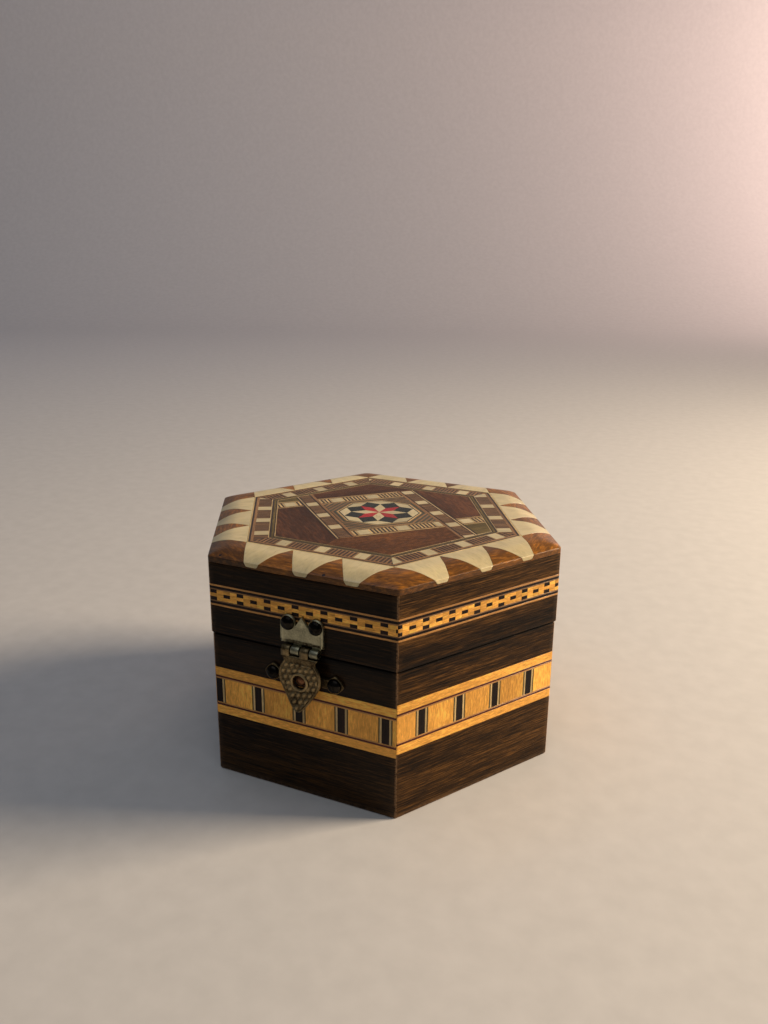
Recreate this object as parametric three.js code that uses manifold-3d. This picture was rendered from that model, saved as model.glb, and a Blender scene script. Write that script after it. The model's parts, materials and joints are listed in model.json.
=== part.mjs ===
// Six-sided inlaid wooden box with a hinged lid and a brass hasp latch.
// Millimetres, +Z up. The origin is the centre of the underside, and the latch side faces -Y.

import * as THREE from 'three';
import { mergeVertices } from 'three/addons/utils/BufferGeometryUtils.js';
import Module from 'manifold-3d';

const wasm = await Module();
wasm.setup();

// ---------------------------------------------------------------- driving dimensions

// Box shell
const lidAcrossFlats = 86.8;
const lidOverhang = 0.3; // how far the lid stands proud of the body, all round
const bodyHeight = 38.3;
const seamGap = 0.35; // between the body's rim and the lid's rim
const lidHeight = 21.45;
const wallThickness = 5;
const floorThickness = 4;
const liningThickness = 1;
const liningClearance = 0.3; // round the edge of each cloth lining
const cornerRound = 0.9; // radius of the upright corners
const footBevel = 0.5; // along the bottom outer edge

// Inlays
const glueLine = 0.05; // clearance round every glued or let-in piece
const inlayDepth = 1;
const bodyBandHeight = 12.9;
const bodyBandDrop = 9; // from the body's rim down to the band's upper edge, on the latch side
const bodyBandRises = [0, 0.9, 0.5, 0.2, 0.5, 0.3]; // how much higher each side's band sits
const lidBandHeight = 5.6;
const lidBandFoot = 7.35; // above the lid's rim

// Lid top
const edgeStripHeight = 3;
const edgeStripWidth = 9;
const edgeFaceHeight = 1.45; // upright part of the edge strip's outer face
const edgeSlopeWidth = 5.2; // width of the rounded-over part
const edgeSlopeBulge = 0.28;
const lidBoardThickness = 3;
const teethPerSide = 3;
const toothTipWidth = 4;
const toothTipLift = 0.4; // brown wood left below the tips
const combRoot = 0.35; // width of the line that joins the teeth
const coreFaceDrop = 0.6; // how far the teeth's core drops at its face, as a share of their thickness
const coreStretch = 1.1; // lets the core run out through the strip's mitred ends
const ringWidth = 6.9;
const latticeCentre = [-1.3, 2.2];
const tileHalfWidth = 12.2;
const latticeStripWidth = 5.4;

// Latch
const latchX = 1;
const sheetThickness = 0.7;
const latchAxisRise = 0.85; // above the lid's rim
const latchAxisOut = 1.35; // in front of the lid's face
const latchKnuckleRadius = 1.1;
const latchPinRadius = 0.45;
const pinClearance = 0.1;
const knuckleWidth = 2.5;
const knuckleGap = 0.3;
const plateWidth = 11.4;
const plateHeight = 6.9;
const plateNailSpacing = 7.4;
const cuspHalfWidth = 1;
const cuspRootDrop = 0.6; // from the nails' height down to the roots of the cusp
const nailHeadRadius = 1.8;
const nailHeadHeight = 1.3;
const nailShankRadius = 0.5;
const haspLength = 13.6;
const haspWidth = 11.2;
const haspHoleRadius = 1.65;
const haspStandOff = 0.4; // from the pin's axis out to the back of the hasp
const haspFlare = 1.2; // how far the tip bends outwards
const haspBendStart = 0.45; // where the bend begins, as a share of the hasp's length
const haspOverrun = 1.02; // the bent section runs a little past the outline's tip
const webOverlap = 0.5; // how far a knuckle's web runs into its plate
const catchDrop = 6.35; // from the body's rim down to the catch's pip and nails
const catchNailSpacing = 16.6;
const earRadius = 2.3;
const pipRadius = 1.45;
const pipTaper = 0.7; // the pip's end, as a share of its root
const pipClearance = 0.35; // between the pip's end and the back of the hasp

// Hinges
const hingeSpacing = 24;
const hingeWidth = 12;
const hingeLeafHeight = 8;
const hingeKnuckleRadius = 1.3;
const hingePinRadius = 0.6;
const hingeAxisOut = 1.5; // behind the lid's face
const hingeNailSpacing = 6.5;
const hingeNailRadius = 1.1;
const hingeNailHeight = 0.7;
const hingeNailShift = 0.8; // from the middle of a leaf, away from the knuckles
const hingeFillet = 0.2; // overlap of the block that joins a knuckle to its leaf
const hingeFilletHeight = 0.95; // as a share of the knuckle's radius

// Cutting tools
const cutMargin = 2; // how far a tool runs past what it cuts

// ---------------------------------------------------------------- derived dimensions

const sideNames = ['front', 'front_right', 'back_right', 'back', 'back_left', 'front_left'];
const sixth = Math.PI / 3;
const mitreSlope = Math.tan(sixth / 2);
const lidFace = lidAcrossFlats / 2;
const bodyFace = lidFace - lidOverhang;
const lidInner = lidFace - wallThickness;
const bodyInner = bodyFace - wallThickness;
const lidFoot = bodyHeight + seamGap;
const lidTop = lidFoot + lidHeight;
const edgeFoot = lidTop - edgeStripHeight;
const ringOuter = lidFace - edgeStripWidth;
const ringInner = ringOuter - ringWidth;
const inlayFoot = lidTop - inlayDepth;
const bodyBandFoot = bodyHeight - bodyBandDrop - bodyBandHeight;
const latchAxisZ = lidFoot + latchAxisRise;
const hingeAxisZ = bodyHeight + seamGap / 2;

// ---------------------------------------------------------------- materials

const finish = (color, roughness, metalness = 0) => ({ color, roughness, metalness });
const finishes = {
  veneer: finish('#3b2a1c', 0.3),
  carcass: finish('#8a6238', 0.6),
  satinwood: finish('#d99a4a', 0.35),
  checker: finish('#b98b56', 0.4),
  edgeWood: finish('#8a4f1c', 0.22),
  bone: finish('#d6c9a0', 0.35),
  mahogany: finish('#6b3626', 0.3),
  banding: finish('#7d6547', 0.4),
  star: finish('#2a3530', 0.4),
  olive: finish('#6f6134', 0.4),
  cloth: finish('#6e1f24', 0.95),
  brass: finish('#8f7a4a', 0.4, 1),
  darkBrass: finish('#3a3229', 0.4, 1),
};

// ---------------------------------------------------------------- solids and booleans

function toSolid(geometry) {
  const bare = geometry.clone();
  bare.deleteAttribute('normal');
  bare.deleteAttribute('uv');
  const merged = mergeVertices(bare, 1e-5);
  return new wasm.Manifold(new wasm.Mesh({
    numProp: 3,
    vertProperties: new Float32Array(merged.attributes.position.array),
    triVerts: new Uint32Array(merged.index.array),
  }));
}

// Rounding can leave a sliver without volume beside a cut, and those aren't kept.
function toGeometry(solid) {
  const leastVolume = 1e-6;
  const mesh = join(...solid.decompose().filter((piece) => piece.volume() > leastVolume)).getMesh();
  const geometry = new THREE.BufferGeometry();
  geometry.setAttribute('position', new THREE.BufferAttribute(mesh.vertProperties, 3));
  geometry.setIndex(new THREE.BufferAttribute(mesh.triVerts, 1));
  return geometry;
}

const join = (...solids) => solids.reduce((whole, piece) => whole.add(piece));
const cut = (solid, ...tools) => tools.reduce((rest, tool) => rest.subtract(tool), solid);
const meet = (a, b) => a.intersect(b);

function extrude(outline, depth, matrix, steps = 12) {
  const shape = outline instanceof THREE.Shape
    ? outline
    : new THREE.Shape(outline.map(([x, y]) => new THREE.Vector2(x, y)));
  const geometry = new THREE.ExtrudeGeometry(shape, { depth, bevelEnabled: false, curveSegments: steps });
  return geometry.applyMatrix4(matrix);
}

// An upright prism: the outline is in x and y.
function uprightPrism(outline, low, high) {
  return extrude(outline, high - low, new THREE.Matrix4().makeTranslation(0, 0, low));
}

// A prism along X: the outline is in y and z.
function prismAlongX(outline, left, right) {
  const matrix = new THREE.Matrix4().makeBasis(
    new THREE.Vector3(0, 1, 0),
    new THREE.Vector3(0, 0, 1),
    new THREE.Vector3(1, 0, 0),
  );
  return extrude(outline, right - left, matrix.setPosition(left, 0, 0));
}

// A prism along Y, from the far face towards -Y: the outline is in x and z.
function prismTowardsFront(outline, backY, frontY) {
  const matrix = new THREE.Matrix4().makeBasis(
    new THREE.Vector3(1, 0, 0),
    new THREE.Vector3(0, 0, 1),
    new THREE.Vector3(0, -1, 0),
  );
  return extrude(outline, backY - frontY, matrix.setPosition(0, backY, 0));
}

function rodAlongX(radius, left, right, y, z, segments = 20) {
  const geometry = new THREE.CylinderGeometry(radius, radius, right - left, segments);
  geometry.rotateZ(Math.PI / 2);
  return geometry.translate((left + right) / 2, y, z);
}

function hexagon(apothem) {
  const radius = apothem / Math.cos(sixth / 2);
  return sideNames.map((_, i) => [radius * Math.cos(i * sixth), radius * Math.sin(i * sixth)]);
}

// A strip along one side of the box, mitred at both ends. The profile's points are
// [distance from the box's axis, height], and its outer corners follow the box's rounded corner.
function mitredStrip(profile, outerFace) {
  const arcSteps = 3;
  const cornerDistance = outerFace - cornerRound;
  const endPoint = ([distance, height], step) => {
    const inset = outerFace - distance;
    if (inset >= cornerRound) {
      return [distance, distance * mitreSlope - glueLine / 2, height];
    }
    const angle = (sixth / 2) * (step / arcSteps);
    const radius = cornerRound - inset;
    const across = cornerDistance + radius * Math.cos(angle);
    const along = cornerDistance * mitreSlope + radius * Math.sin(angle) - glueLine / 2;
    return [across, along, height];
  };
  const stations = [];
  for (let step = arcSteps; step >= 0; step -= 1) {
    stations.push(profile.map((point) => {
      const [across, along, height] = endPoint(point, step);
      return new THREE.Vector3(-along, -across, height);
    }));
  }
  for (let step = 0; step <= arcSteps; step += 1) {
    stations.push(profile.map((point) => {
      const [across, along, height] = endPoint(point, step);
      return new THREE.Vector3(along, -across, height);
    }));
  }
  return loft(stations, profile);
}

// Skins a row of stations, which all have the profile's points in the same order.
function loft(stations, profile) {
  const flat = profile.map(([distance, height]) => new THREE.Vector2(distance, height));
  const turned = THREE.ShapeUtils.isClockWise(flat);
  const caps = THREE.ShapeUtils.triangulateShape(turned ? flat.slice().reverse() : flat, []);
  const count = profile.length;
  const order = (index) => (turned ? count - 1 - index : index);
  const triangles = [];
  const last = stations.length - 1;
  caps.forEach(([a, b, c]) => {
    triangles.push([stations[0][order(a)], stations[0][order(b)], stations[0][order(c)]]);
    triangles.push([stations[last][order(c)], stations[last][order(b)], stations[last][order(a)]]);
  });
  for (let row = 0; row < last; row += 1) {
    for (let i = 0; i < count; i += 1) {
      const here = order(i);
      const next = order((i + 1) % count);
      const first = stations[row];
      const second = stations[row + 1];
      triangles.push([first[here], second[next], first[next]]);
      triangles.push([first[here], second[here], second[next]]);
    }
  }
  const leastEdge = 1e-6;
  const kept = triangles.filter(([a, b, c]) => (
    Math.min(a.distanceTo(b), b.distanceTo(c), c.distanceTo(a)) > leastEdge
  ));
  return new THREE.BufferGeometry().setFromPoints(kept.flat());
}

const onSide = (geometry, side) => geometry.clone().rotateZ(side * sixth);

// ---------------------------------------------------------------- assembly

const box = new THREE.Group();
const body = new THREE.Group();
const lid = new THREE.Group();
const hasp = new THREE.Group();
lid.add(hasp);
box.add(body, lid);

function addPiece(parent, name, geometry, look) {
  geometry.computeVertexNormals();
  const mesh = new THREE.Mesh(geometry, new THREE.MeshStandardMaterial(look));
  mesh.name = name;
  parent.add(mesh);
}

// ---------------------------------------------------------------- body

function wallProfile(outerFace, innerFace, foot, top, bandFoot, bandHeight, bevel) {
  const grooveFace = outerFace - inlayDepth;
  return [
    [innerFace, foot],
    [outerFace - bevel, foot],
    [outerFace, foot + bevel],
    [outerFace, bandFoot],
    [grooveFace, bandFoot],
    [grooveFace, bandFoot + bandHeight],
    [outerFace, bandFoot + bandHeight],
    [outerFace, top - bevel / 2],
    [outerFace - bevel / 2, top],
    [innerFace, top],
  ];
}

function bandProfile(outerFace, bandFoot, bandHeight) {
  const backFace = outerFace - inlayDepth + glueLine;
  const low = bandFoot + glueLine;
  const high = bandFoot + bandHeight - glueLine;
  return [[backFace, low], [outerFace, low], [outerFace, high], [backFace, high]];
}

function addBody() {
  sideNames.forEach((side, i) => {
    const bandFoot = bodyBandFoot + bodyBandRises[i];
    const wall = wallProfile(bodyFace, bodyInner, 0, bodyHeight, bandFoot, bodyBandHeight, footBevel);
    const band = bandProfile(bodyFace, bandFoot, bodyBandHeight);
    addPiece(body, `body_wall_${side}`, onSide(mitredStrip(wall, bodyFace), i), finishes.veneer);
    addPiece(body, `body_band_${side}`, onSide(mitredStrip(band, bodyFace), i), finishes.satinwood);
  });
  const floor = uprightPrism(hexagon(bodyInner - glueLine), 0, floorThickness);
  const lining = uprightPrism(
    hexagon(bodyInner - liningClearance),
    floorThickness + glueLine,
    floorThickness + liningThickness,
  );
  addPiece(body, 'body_floor', floor, finishes.carcass);
  addPiece(body, 'body_floor_lining', lining, finishes.cloth);
}

// ---------------------------------------------------------------- lid walls and edge

function edgeStripProfile(inset) {
  const outer = lidFace - inset;
  const top = lidTop - inset;
  const inner = ringOuter + glueLine / 2;
  const faceTop = edgeFoot + edgeFaceHeight - inset * coreFaceDrop;
  const steps = 5;
  const slope = [];
  for (let step = 0; step <= steps; step += 1) {
    const share = step / steps;
    const bulge = 4 * share * (1 - share) * edgeSlopeBulge;
    slope.push([outer - share * edgeSlopeWidth, faceTop + share * (top - faceTop) + bulge]);
  }
  return [[inner, edgeFoot + glueLine], [outer, edgeFoot + glueLine], ...slope, [inner, top]];
}

// The plan of one side's teeth, on the latch side, each tooth narrowing towards the outer face.
function toothPlan(grow) {
  const toothPitch = (2 * ringOuter * mitreSlope) / teethPerSide;
  const reach = lidFace + cutMargin;
  const run = lidFace - ringOuter;
  const narrowing = (toothPitch - toothTipWidth) / 2 / run;
  const halfWidthAt = (distance) => toothPitch / 2 - narrowing * (distance - ringOuter) + grow;
  const rootFace = ringOuter + combRoot + grow;
  const middle = (teethPerSide - 1) / 2;
  const plan = [[-(ringOuter * mitreSlope) + glueLine, -(ringOuter - 1)]];
  for (let tooth = 0; tooth < teethPerSide; tooth += 1) {
    const centre = (tooth - middle) * toothPitch;
    const isFirst = tooth === 0;
    const isLast = tooth === teethPerSide - 1;
    if (isFirst) {
      plan.push([centre - toothPitch / 2 + glueLine, -rootFace]);
    }
    plan.push([centre - halfWidthAt(reach), -reach]);
    plan.push([centre + halfWidthAt(reach), -reach]);
    plan.push([centre + toothPitch / 2 - (isLast ? glueLine : 0), -rootFace]);
  }
  plan.push([ringOuter * mitreSlope - glueLine, -(ringOuter - 1)]);
  return plan;
}

function addLidWallsAndEdge() {
  const bandFoot = lidFoot + lidBandFoot;
  const wall = wallProfile(lidFace, lidInner, lidFoot, edgeFoot, bandFoot, lidBandHeight, 0);
  const band = bandProfile(lidFace, bandFoot, lidBandHeight);
  const strip = toSolid(mitredStrip(edgeStripProfile(0), lidFace));
  const plainCore = toSolid(mitredStrip(edgeStripProfile(inlayDepth), lidFace - inlayDepth));
  const core = plainCore.scale([coreStretch, 1, 1]);
  const toothFoot = edgeFoot + toothTipLift;
  const combPrism = toSolid(uprightPrism(toothPlan(0), toothFoot, lidTop + 1));
  const pocketPrism = toSolid(uprightPrism(toothPlan(glueLine), toothFoot - glueLine, lidTop + 1));
  const skin = cut(strip, core);
  const comb = toGeometry(meet(skin, combPrism));
  const deepSkin = cut(strip, core.translate([0, glueLine, -glueLine]));
  const wood = toGeometry(cut(strip, meet(deepSkin, pocketPrism)));
  sideNames.forEach((side, i) => {
    addPiece(lid, `lid_wall_${side}`, onSide(mitredStrip(wall, lidFace), i), finishes.veneer);
    addPiece(lid, `lid_band_${side}`, onSide(mitredStrip(band, lidFace), i), finishes.checker);
    addPiece(lid, `lid_edge_${side}`, onSide(wood, i), finishes.edgeWood);
    addPiece(lid, `lid_teeth_${side}`, onSide(comb, i), finishes.bone);
  });
}

// ---------------------------------------------------------------- lid board and its marquetry

// A rectangle in the lattice's own directions: u runs to the front right and v to the back right.
function latticeBlock(lowU, highU, lowV, highV, low, high) {
  const outline = [[lowU, lowV], [highU, lowV], [highU, highV], [lowU, highV]];
  const block = uprightPrism(outline, low, high);
  block.rotateZ(-Math.PI / 4);
  return toSolid(block.translate(latticeCentre[0], latticeCentre[1], 0));
}

function latticeStrips(grow, low, high) {
  const near = tileHalfWidth - grow;
  const middle = tileHalfWidth + latticeStripWidth / 2;
  const far = tileHalfWidth + latticeStripWidth + grow;
  const reach = lidFace;
  return join(
    latticeBlock(-reach, far, -far, -near, low, high),
    latticeBlock(-far, reach, near, far, low, high),
    latticeBlock(near, far, -middle, reach, low, high),
    latticeBlock(-far, -near, -reach, middle, low, high),
  );
}

function addLidBoard() {
  const field = toSolid(uprightPrism(hexagon(ringInner - glueLine), inlayFoot - inlayDepth, lidTop));
  const inlaid = toSolid(uprightPrism(hexagon(ringInner - glueLine), inlayFoot + glueLine, lidTop));
  // The seats run under the middle of the lattice strips, so that no thin wall is left between them.
  const stripMiddle = tileHalfWidth + latticeStripWidth / 2;
  const outerLimit = tileHalfWidth + latticeStripWidth + glueLine;
  const tileLimit = tileHalfWidth - glueLine;
  const reach = lidFace;
  const over = lidTop + 1;
  const lattice = meet(latticeStrips(0, inlayFoot, over), inlaid);
  const rightSeat = latticeBlock(stripMiddle, reach, stripMiddle, reach, inlayFoot, over);
  const leftSeat = latticeBlock(-reach, -stripMiddle, -reach, -stripMiddle, inlayFoot, over);
  const tileSeat = latticeBlock(-stripMiddle, stripMiddle, -stripMiddle, stripMiddle, inlayFoot, over);
  const rightCorner = latticeBlock(outerLimit, reach, outerLimit, reach, inlayFoot, over);
  const leftCorner = latticeBlock(-reach, -outerLimit, -reach, -outerLimit, inlayFoot, over);
  const tile = latticeBlock(-tileLimit, tileLimit, -tileLimit, tileLimit, inlayFoot + glueLine, lidTop);
  const ring = cut(
    toSolid(uprightPrism(hexagon(ringOuter - glueLine), inlayFoot + glueLine, lidTop)),
    toSolid(uprightPrism(hexagon(ringInner), inlayFoot, over)),
  );
  const innerBoard = uprightPrism(hexagon(lidInner - glueLine), edgeFoot - lidBoardThickness, edgeFoot);
  const raisedBoard = uprightPrism(hexagon(ringOuter - glueLine), edgeFoot - glueLine, inlayFoot);
  const latticeSeat = latticeStrips(glueLine, inlayFoot, over);
  const board = cut(
    join(toSolid(innerBoard), toSolid(raisedBoard), field),
    latticeSeat,
    rightSeat,
    leftSeat,
    tileSeat,
  );
  const lining = uprightPrism(
    hexagon(lidInner - liningClearance),
    edgeFoot - lidBoardThickness - liningThickness,
    edgeFoot - lidBoardThickness - glueLine,
  );
  addPiece(lid, 'lid_board', toGeometry(board), finishes.mahogany);
  addPiece(lid, 'lid_ring_banding', toGeometry(ring), finishes.banding);
  addPiece(lid, 'lid_lattice_banding', toGeometry(lattice), finishes.banding);
  addPiece(lid, 'lid_star_tile', toGeometry(tile), finishes.star);
  addPiece(lid, 'lid_olive_field_right', toGeometry(meet(rightCorner, inlaid)), finishes.olive);
  addPiece(lid, 'lid_olive_field_left', toGeometry(meet(leftCorner, inlaid)), finishes.olive);
  addPiece(lid, 'lid_lining', lining, finishes.cloth);
}

// ---------------------------------------------------------------- latch

// A knuckle round an axis along X, with a sheet that leaves it along the given outline.
function knuckle(radius, left, right, axisY, axisZ, sheetOutline) {
  return join(
    toSolid(rodAlongX(radius, left, right, axisY, axisZ)),
    toSolid(prismAlongX(sheetOutline, left, right)),
  );
}

const rectangle = (x0, x1, y0, y1) => [[x0, y0], [x1, y0], [x1, y1], [x0, y1]];

function nail(headRadius, headHeight, shankRadius, shankLength) {
  const profile = [new THREE.Vector2(0, -shankLength), new THREE.Vector2(shankRadius, -shankLength)];
  const steps = 5;
  profile.push(new THREE.Vector2(shankRadius, 0));
  for (let step = 0; step <= steps; step += 1) {
    const angle = (Math.PI / 2) * (step / steps);
    profile.push(new THREE.Vector2(headRadius * Math.cos(angle), headHeight * Math.sin(angle)));
  }
  profile[profile.length - 1].x = 0;
  return new THREE.LatheGeometry(profile, 18).rotateX(Math.PI);
}

function addNail(parent, name, x, seatY, z) {
  const geometry = nail(nailHeadRadius, nailHeadHeight, nailShankRadius, sheetThickness);
  addPiece(parent, name, geometry.translate(x, seatY - glueLine, z), finishes.darkBrass);
}

// The nail's hole through a plate.
function nailHole(x, z) {
  const radius = nailShankRadius + glueLine;
  const hole = new THREE.CylinderGeometry(radius, radius, 3 * cutMargin, 16);
  return toSolid(hole.translate(x, -lidFace, z));
}

// The plate's upper edge has a lobe round each nail and a pointed cusp between them.
function plateOutline() {
  const foot = latchAxisZ + latchKnuckleRadius + knuckleGap / 2;
  const half = plateWidth / 2;
  const nailZ = foot + plateHeight - nailHeadRadius;
  const lobe = half - plateNailSpacing / 2;
  const shape = new THREE.Shape();
  shape.moveTo(latchX - half, foot);
  shape.lineTo(latchX + half, foot);
  shape.lineTo(latchX + half, nailZ);
  shape.absarc(latchX + plateNailSpacing / 2, nailZ, lobe, 0, Math.PI * 0.75, false);
  shape.lineTo(latchX + cuspHalfWidth, nailZ - cuspRootDrop);
  shape.lineTo(latchX, foot + plateHeight);
  shape.lineTo(latchX - cuspHalfWidth, nailZ - cuspRootDrop);
  shape.absarc(latchX - plateNailSpacing / 2, nailZ, lobe, Math.PI * 0.25, Math.PI, false);
  shape.closePath();
  return shape;
}

function knuckleSpan(index) {
  const left = latchX + (index - 2) * knuckleWidth;
  return [left + knuckleGap / 2, left + knuckleWidth - knuckleGap / 2];
}

// The bore through the latch's knuckles.
function latchBore(axisY) {
  const reach = plateWidth / 2 + cutMargin;
  const radius = latchPinRadius + pinClearance;
  return toSolid(rodAlongX(radius, latchX - reach, latchX + reach, axisY, latchAxisZ));
}

function addLatchPlate() {
  const back = -(lidFace + glueLine);
  const front = back - sheetThickness;
  const axisY = -(lidFace + latchAxisOut);
  const foot = latchAxisZ + latchKnuckleRadius + knuckleGap / 2;
  const web = rectangle(front, back, latchAxisZ, foot + webOverlap);
  const knuckles = [1, 3].map((index) => {
    const [left, right] = knuckleSpan(index);
    return knuckle(latchKnuckleRadius, left, right, axisY, latchAxisZ, web);
  });
  const nailZ = foot + plateHeight - nailHeadRadius;
  const nailXs = [latchX - plateNailSpacing / 2, latchX + plateNailSpacing / 2];
  const plate = cut(
    join(toSolid(prismTowardsFront(plateOutline(), back, front)), ...knuckles),
    latchBore(axisY),
    ...nailXs.map((x) => nailHole(x, nailZ)),
  );
  addPiece(lid, 'latch_plate', toGeometry(plate), finishes.brass);
  addNail(lid, 'latch_plate_nail_left', nailXs[0], front, nailZ);
  addNail(lid, 'latch_plate_nail_right', nailXs[1], front, nailZ);
  const pinReach = 2 * knuckleWidth - knuckleGap / 2;
  const pin = rodAlongX(latchPinRadius, latchX - pinReach, latchX + pinReach, axisY, latchAxisZ);
  addPiece(lid, 'latch_pin', pin, finishes.darkBrass);
}

// Half widths of the hasp, from its top edge down to its tip, as [share of length, share of width].
const haspHalfWidths = [
  [0, 0.88], [0.07, 0.74], [0.22, 0.92], [0.35, 1], [0.5, 0.95],
  [0.62, 0.8], [0.75, 0.6], [0.87, 0.4], [0.96, 0.2],
];

function haspOutline(topZ) {
  const rightEdge = haspHalfWidths.map(([down, wide]) => [
    latchX + (wide * haspWidth) / 2,
    topZ - down * haspLength,
  ]);
  const leftEdge = rightEdge.map(([x, z]) => [2 * latchX - x, z]).reverse();
  return [...rightEdge, [latchX, topZ - haspLength], ...leftEdge];
}

// The hasp's section: straight down from the barrel, then bent outwards near the tip.
function haspSection(backY, topZ) {
  const steps = 5;
  const back = [[backY, topZ]];
  for (let step = 0; step <= steps; step += 1) {
    const share = step / steps;
    const down = haspBendStart + (haspOverrun - haspBendStart) * share;
    back.push([backY - haspFlare * share * share, topZ - down * haspLength]);
  }
  const front = back.map(([y, z]) => [y - sheetThickness, z]).reverse();
  return [...back, ...front];
}

function addHasp() {
  const axisY = -(lidFace + latchAxisOut);
  const backY = axisY - haspStandOff;
  const topZ = latchAxisZ - latchKnuckleRadius - knuckleGap / 2;
  const leaf = meet(
    toSolid(prismAlongX(haspSection(backY, topZ), latchX - haspWidth, latchX + haspWidth)),
    toSolid(prismTowardsFront(haspOutline(topZ), backY + cutMargin, backY - haspFlare - cutMargin)),
  );
  const web = rectangle(backY - sheetThickness, backY, topZ - webOverlap, latchAxisZ);
  const knuckles = [0, 2].map((index) => {
    const [left, right] = knuckleSpan(index);
    return knuckle(latchKnuckleRadius, left, right, axisY, latchAxisZ, web);
  });
  const hole = new THREE.CylinderGeometry(haspHoleRadius, haspHoleRadius, 4 * cutMargin, 24);
  const holeTool = toSolid(hole.translate(latchX, backY, bodyHeight - catchDrop));
  const solid = cut(join(leaf, ...knuckles), latchBore(axisY), holeTool);
  addPiece(hasp, 'hasp', toGeometry(solid), finishes.brass);
}

function addCatch() {
  const back = -(bodyFace + glueLine);
  const front = back - sheetThickness;
  const haspBack = -(lidFace + latchAxisOut + haspStandOff);
  const z = bodyHeight - catchDrop;
  const half = catchNailSpacing / 2;
  const shape = new THREE.Shape();
  shape.absarc(latchX + half, z, earRadius, -Math.PI * 0.75, Math.PI * 0.75, false);
  shape.absarc(latchX - half, z, earRadius, Math.PI * 0.25, -Math.PI * 0.25 + 2 * Math.PI, false);
  shape.closePath();
  const pipLength = front - haspBack - pipClearance;
  const pip = new THREE.CylinderGeometry(pipRadius, pipRadius * pipTaper, pipLength, 20);
  pip.translate(latchX, (front + haspBack + pipClearance) / 2, z);
  const nailXs = [latchX - half, latchX + half];
  const plate = cut(
    toSolid(prismTowardsFront(shape, back, front)),
    ...nailXs.map((x) => nailHole(x, z)),
  );
  const pipRoot = new THREE.CylinderGeometry(pipRadius, pipRadius, sheetThickness, 20);
  pipRoot.translate(latchX, (back + front) / 2, z);
  addPiece(body, 'catch_plate', toGeometry(join(plate, toSolid(pip), toSolid(pipRoot))), finishes.brass);
  addNail(body, 'catch_nail_left', nailXs[0], front, z);
  addNail(body, 'catch_nail_right', nailXs[1], front, z);
}

// ---------------------------------------------------------------- hinges

// One leaf, drawn as if on the latch side. Direction is 1 for the lid's leaf and -1 for the body's.
function hingeLeaf(centreX, wallFace, direction, knuckleSpans) {
  const back = -(wallFace + glueLine);
  const front = back - sheetThickness;
  const axisY = -(lidFace + hingeAxisOut);
  const nearZ = hingeAxisZ + direction * (hingeKnuckleRadius + knuckleGap);
  const farZ = nearZ + direction * hingeLeafHeight;
  const upright = (y0, y1, z0, z1) => rectangle(y0, y1, Math.min(z0, z1), Math.max(z0, z1));
  const plate = toSolid(prismTowardsFront(
    upright(centreX - hingeWidth / 2, centreX + hingeWidth / 2, nearZ, farZ),
    back,
    front,
  ));
  const web = upright(front, back, hingeAxisZ, nearZ + direction * webOverlap);
  const filletEnd = hingeAxisZ + direction * hingeKnuckleRadius * hingeFilletHeight;
  const fillet = upright(axisY - hingeFillet, front + hingeFillet, hingeAxisZ, filletEnd);
  const knuckles = knuckleSpans.map(([left, right]) => join(
    knuckle(hingeKnuckleRadius, centreX + left, centreX + right, axisY, hingeAxisZ, web),
    toSolid(prismAlongX(fillet, centreX + left, centreX + right)),
  ));
  const bore = toSolid(rodAlongX(
    hingePinRadius + pinClearance,
    centreX - hingeWidth,
    centreX + hingeWidth,
    axisY,
    hingeAxisZ,
  ));
  const headZ = (nearZ + farZ) / 2 + direction * hingeNailShift;
  const heads = [-hingeNailSpacing / 2, hingeNailSpacing / 2].map((offset) => {
    const head = nail(hingeNailRadius, hingeNailHeight, nailShankRadius, sheetThickness / 2);
    return toSolid(head.translate(centreX + offset, front, headZ));
  });
  return toGeometry(cut(join(plate, ...knuckles, ...heads), bore));
}

function addHinge(name, centreX) {
  const third = hingeWidth / 3;
  const outerEnd = third / 2 + knuckleGap / 2;
  const outerSpans = [[-hingeWidth / 2, -outerEnd], [outerEnd, hingeWidth / 2]];
  const middleSpan = [[-third / 2 + knuckleGap / 2, third / 2 - knuckleGap / 2]];
  const halfTurn = 3;
  const bodyLeaf = onSide(hingeLeaf(centreX, bodyFace, -1, outerSpans), halfTurn);
  const lidLeaf = onSide(hingeLeaf(centreX, lidFace, 1, middleSpan), halfTurn);
  const pin = rodAlongX(
    hingePinRadius,
    centreX - hingeWidth / 2 - knuckleGap,
    centreX + hingeWidth / 2 + knuckleGap,
    -(lidFace + hingeAxisOut),
    hingeAxisZ,
  );
  addPiece(body, `${name}_body_leaf`, bodyLeaf, finishes.brass);
  addPiece(lid, `${name}_lid_leaf`, lidLeaf, finishes.brass);
  addPiece(body, `${name}_pin`, onSide(pin, halfTurn), finishes.darkBrass);
}

// ---------------------------------------------------------------- build

addBody();
addLidWallsAndEdge();
addLidBoard();
addLatchPlate();
addHasp();
addCatch();
addHinge('hinge_left', hingeSpacing / 2);
addHinge('hinge_right', -hingeSpacing / 2);

export default box;
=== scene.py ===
"""Six-sided inlaid wooden box with a hinged lid and a brass hasp latch.

Every finished piece is built around the box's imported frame, one operator for each group of like
pieces and one for the stage. Lengths are in metres, +Z is up and the latch side faces -Y.
"""

import json
import math
import random

import bmesh
import bpy
from mathutils import Matrix, Vector

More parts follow.
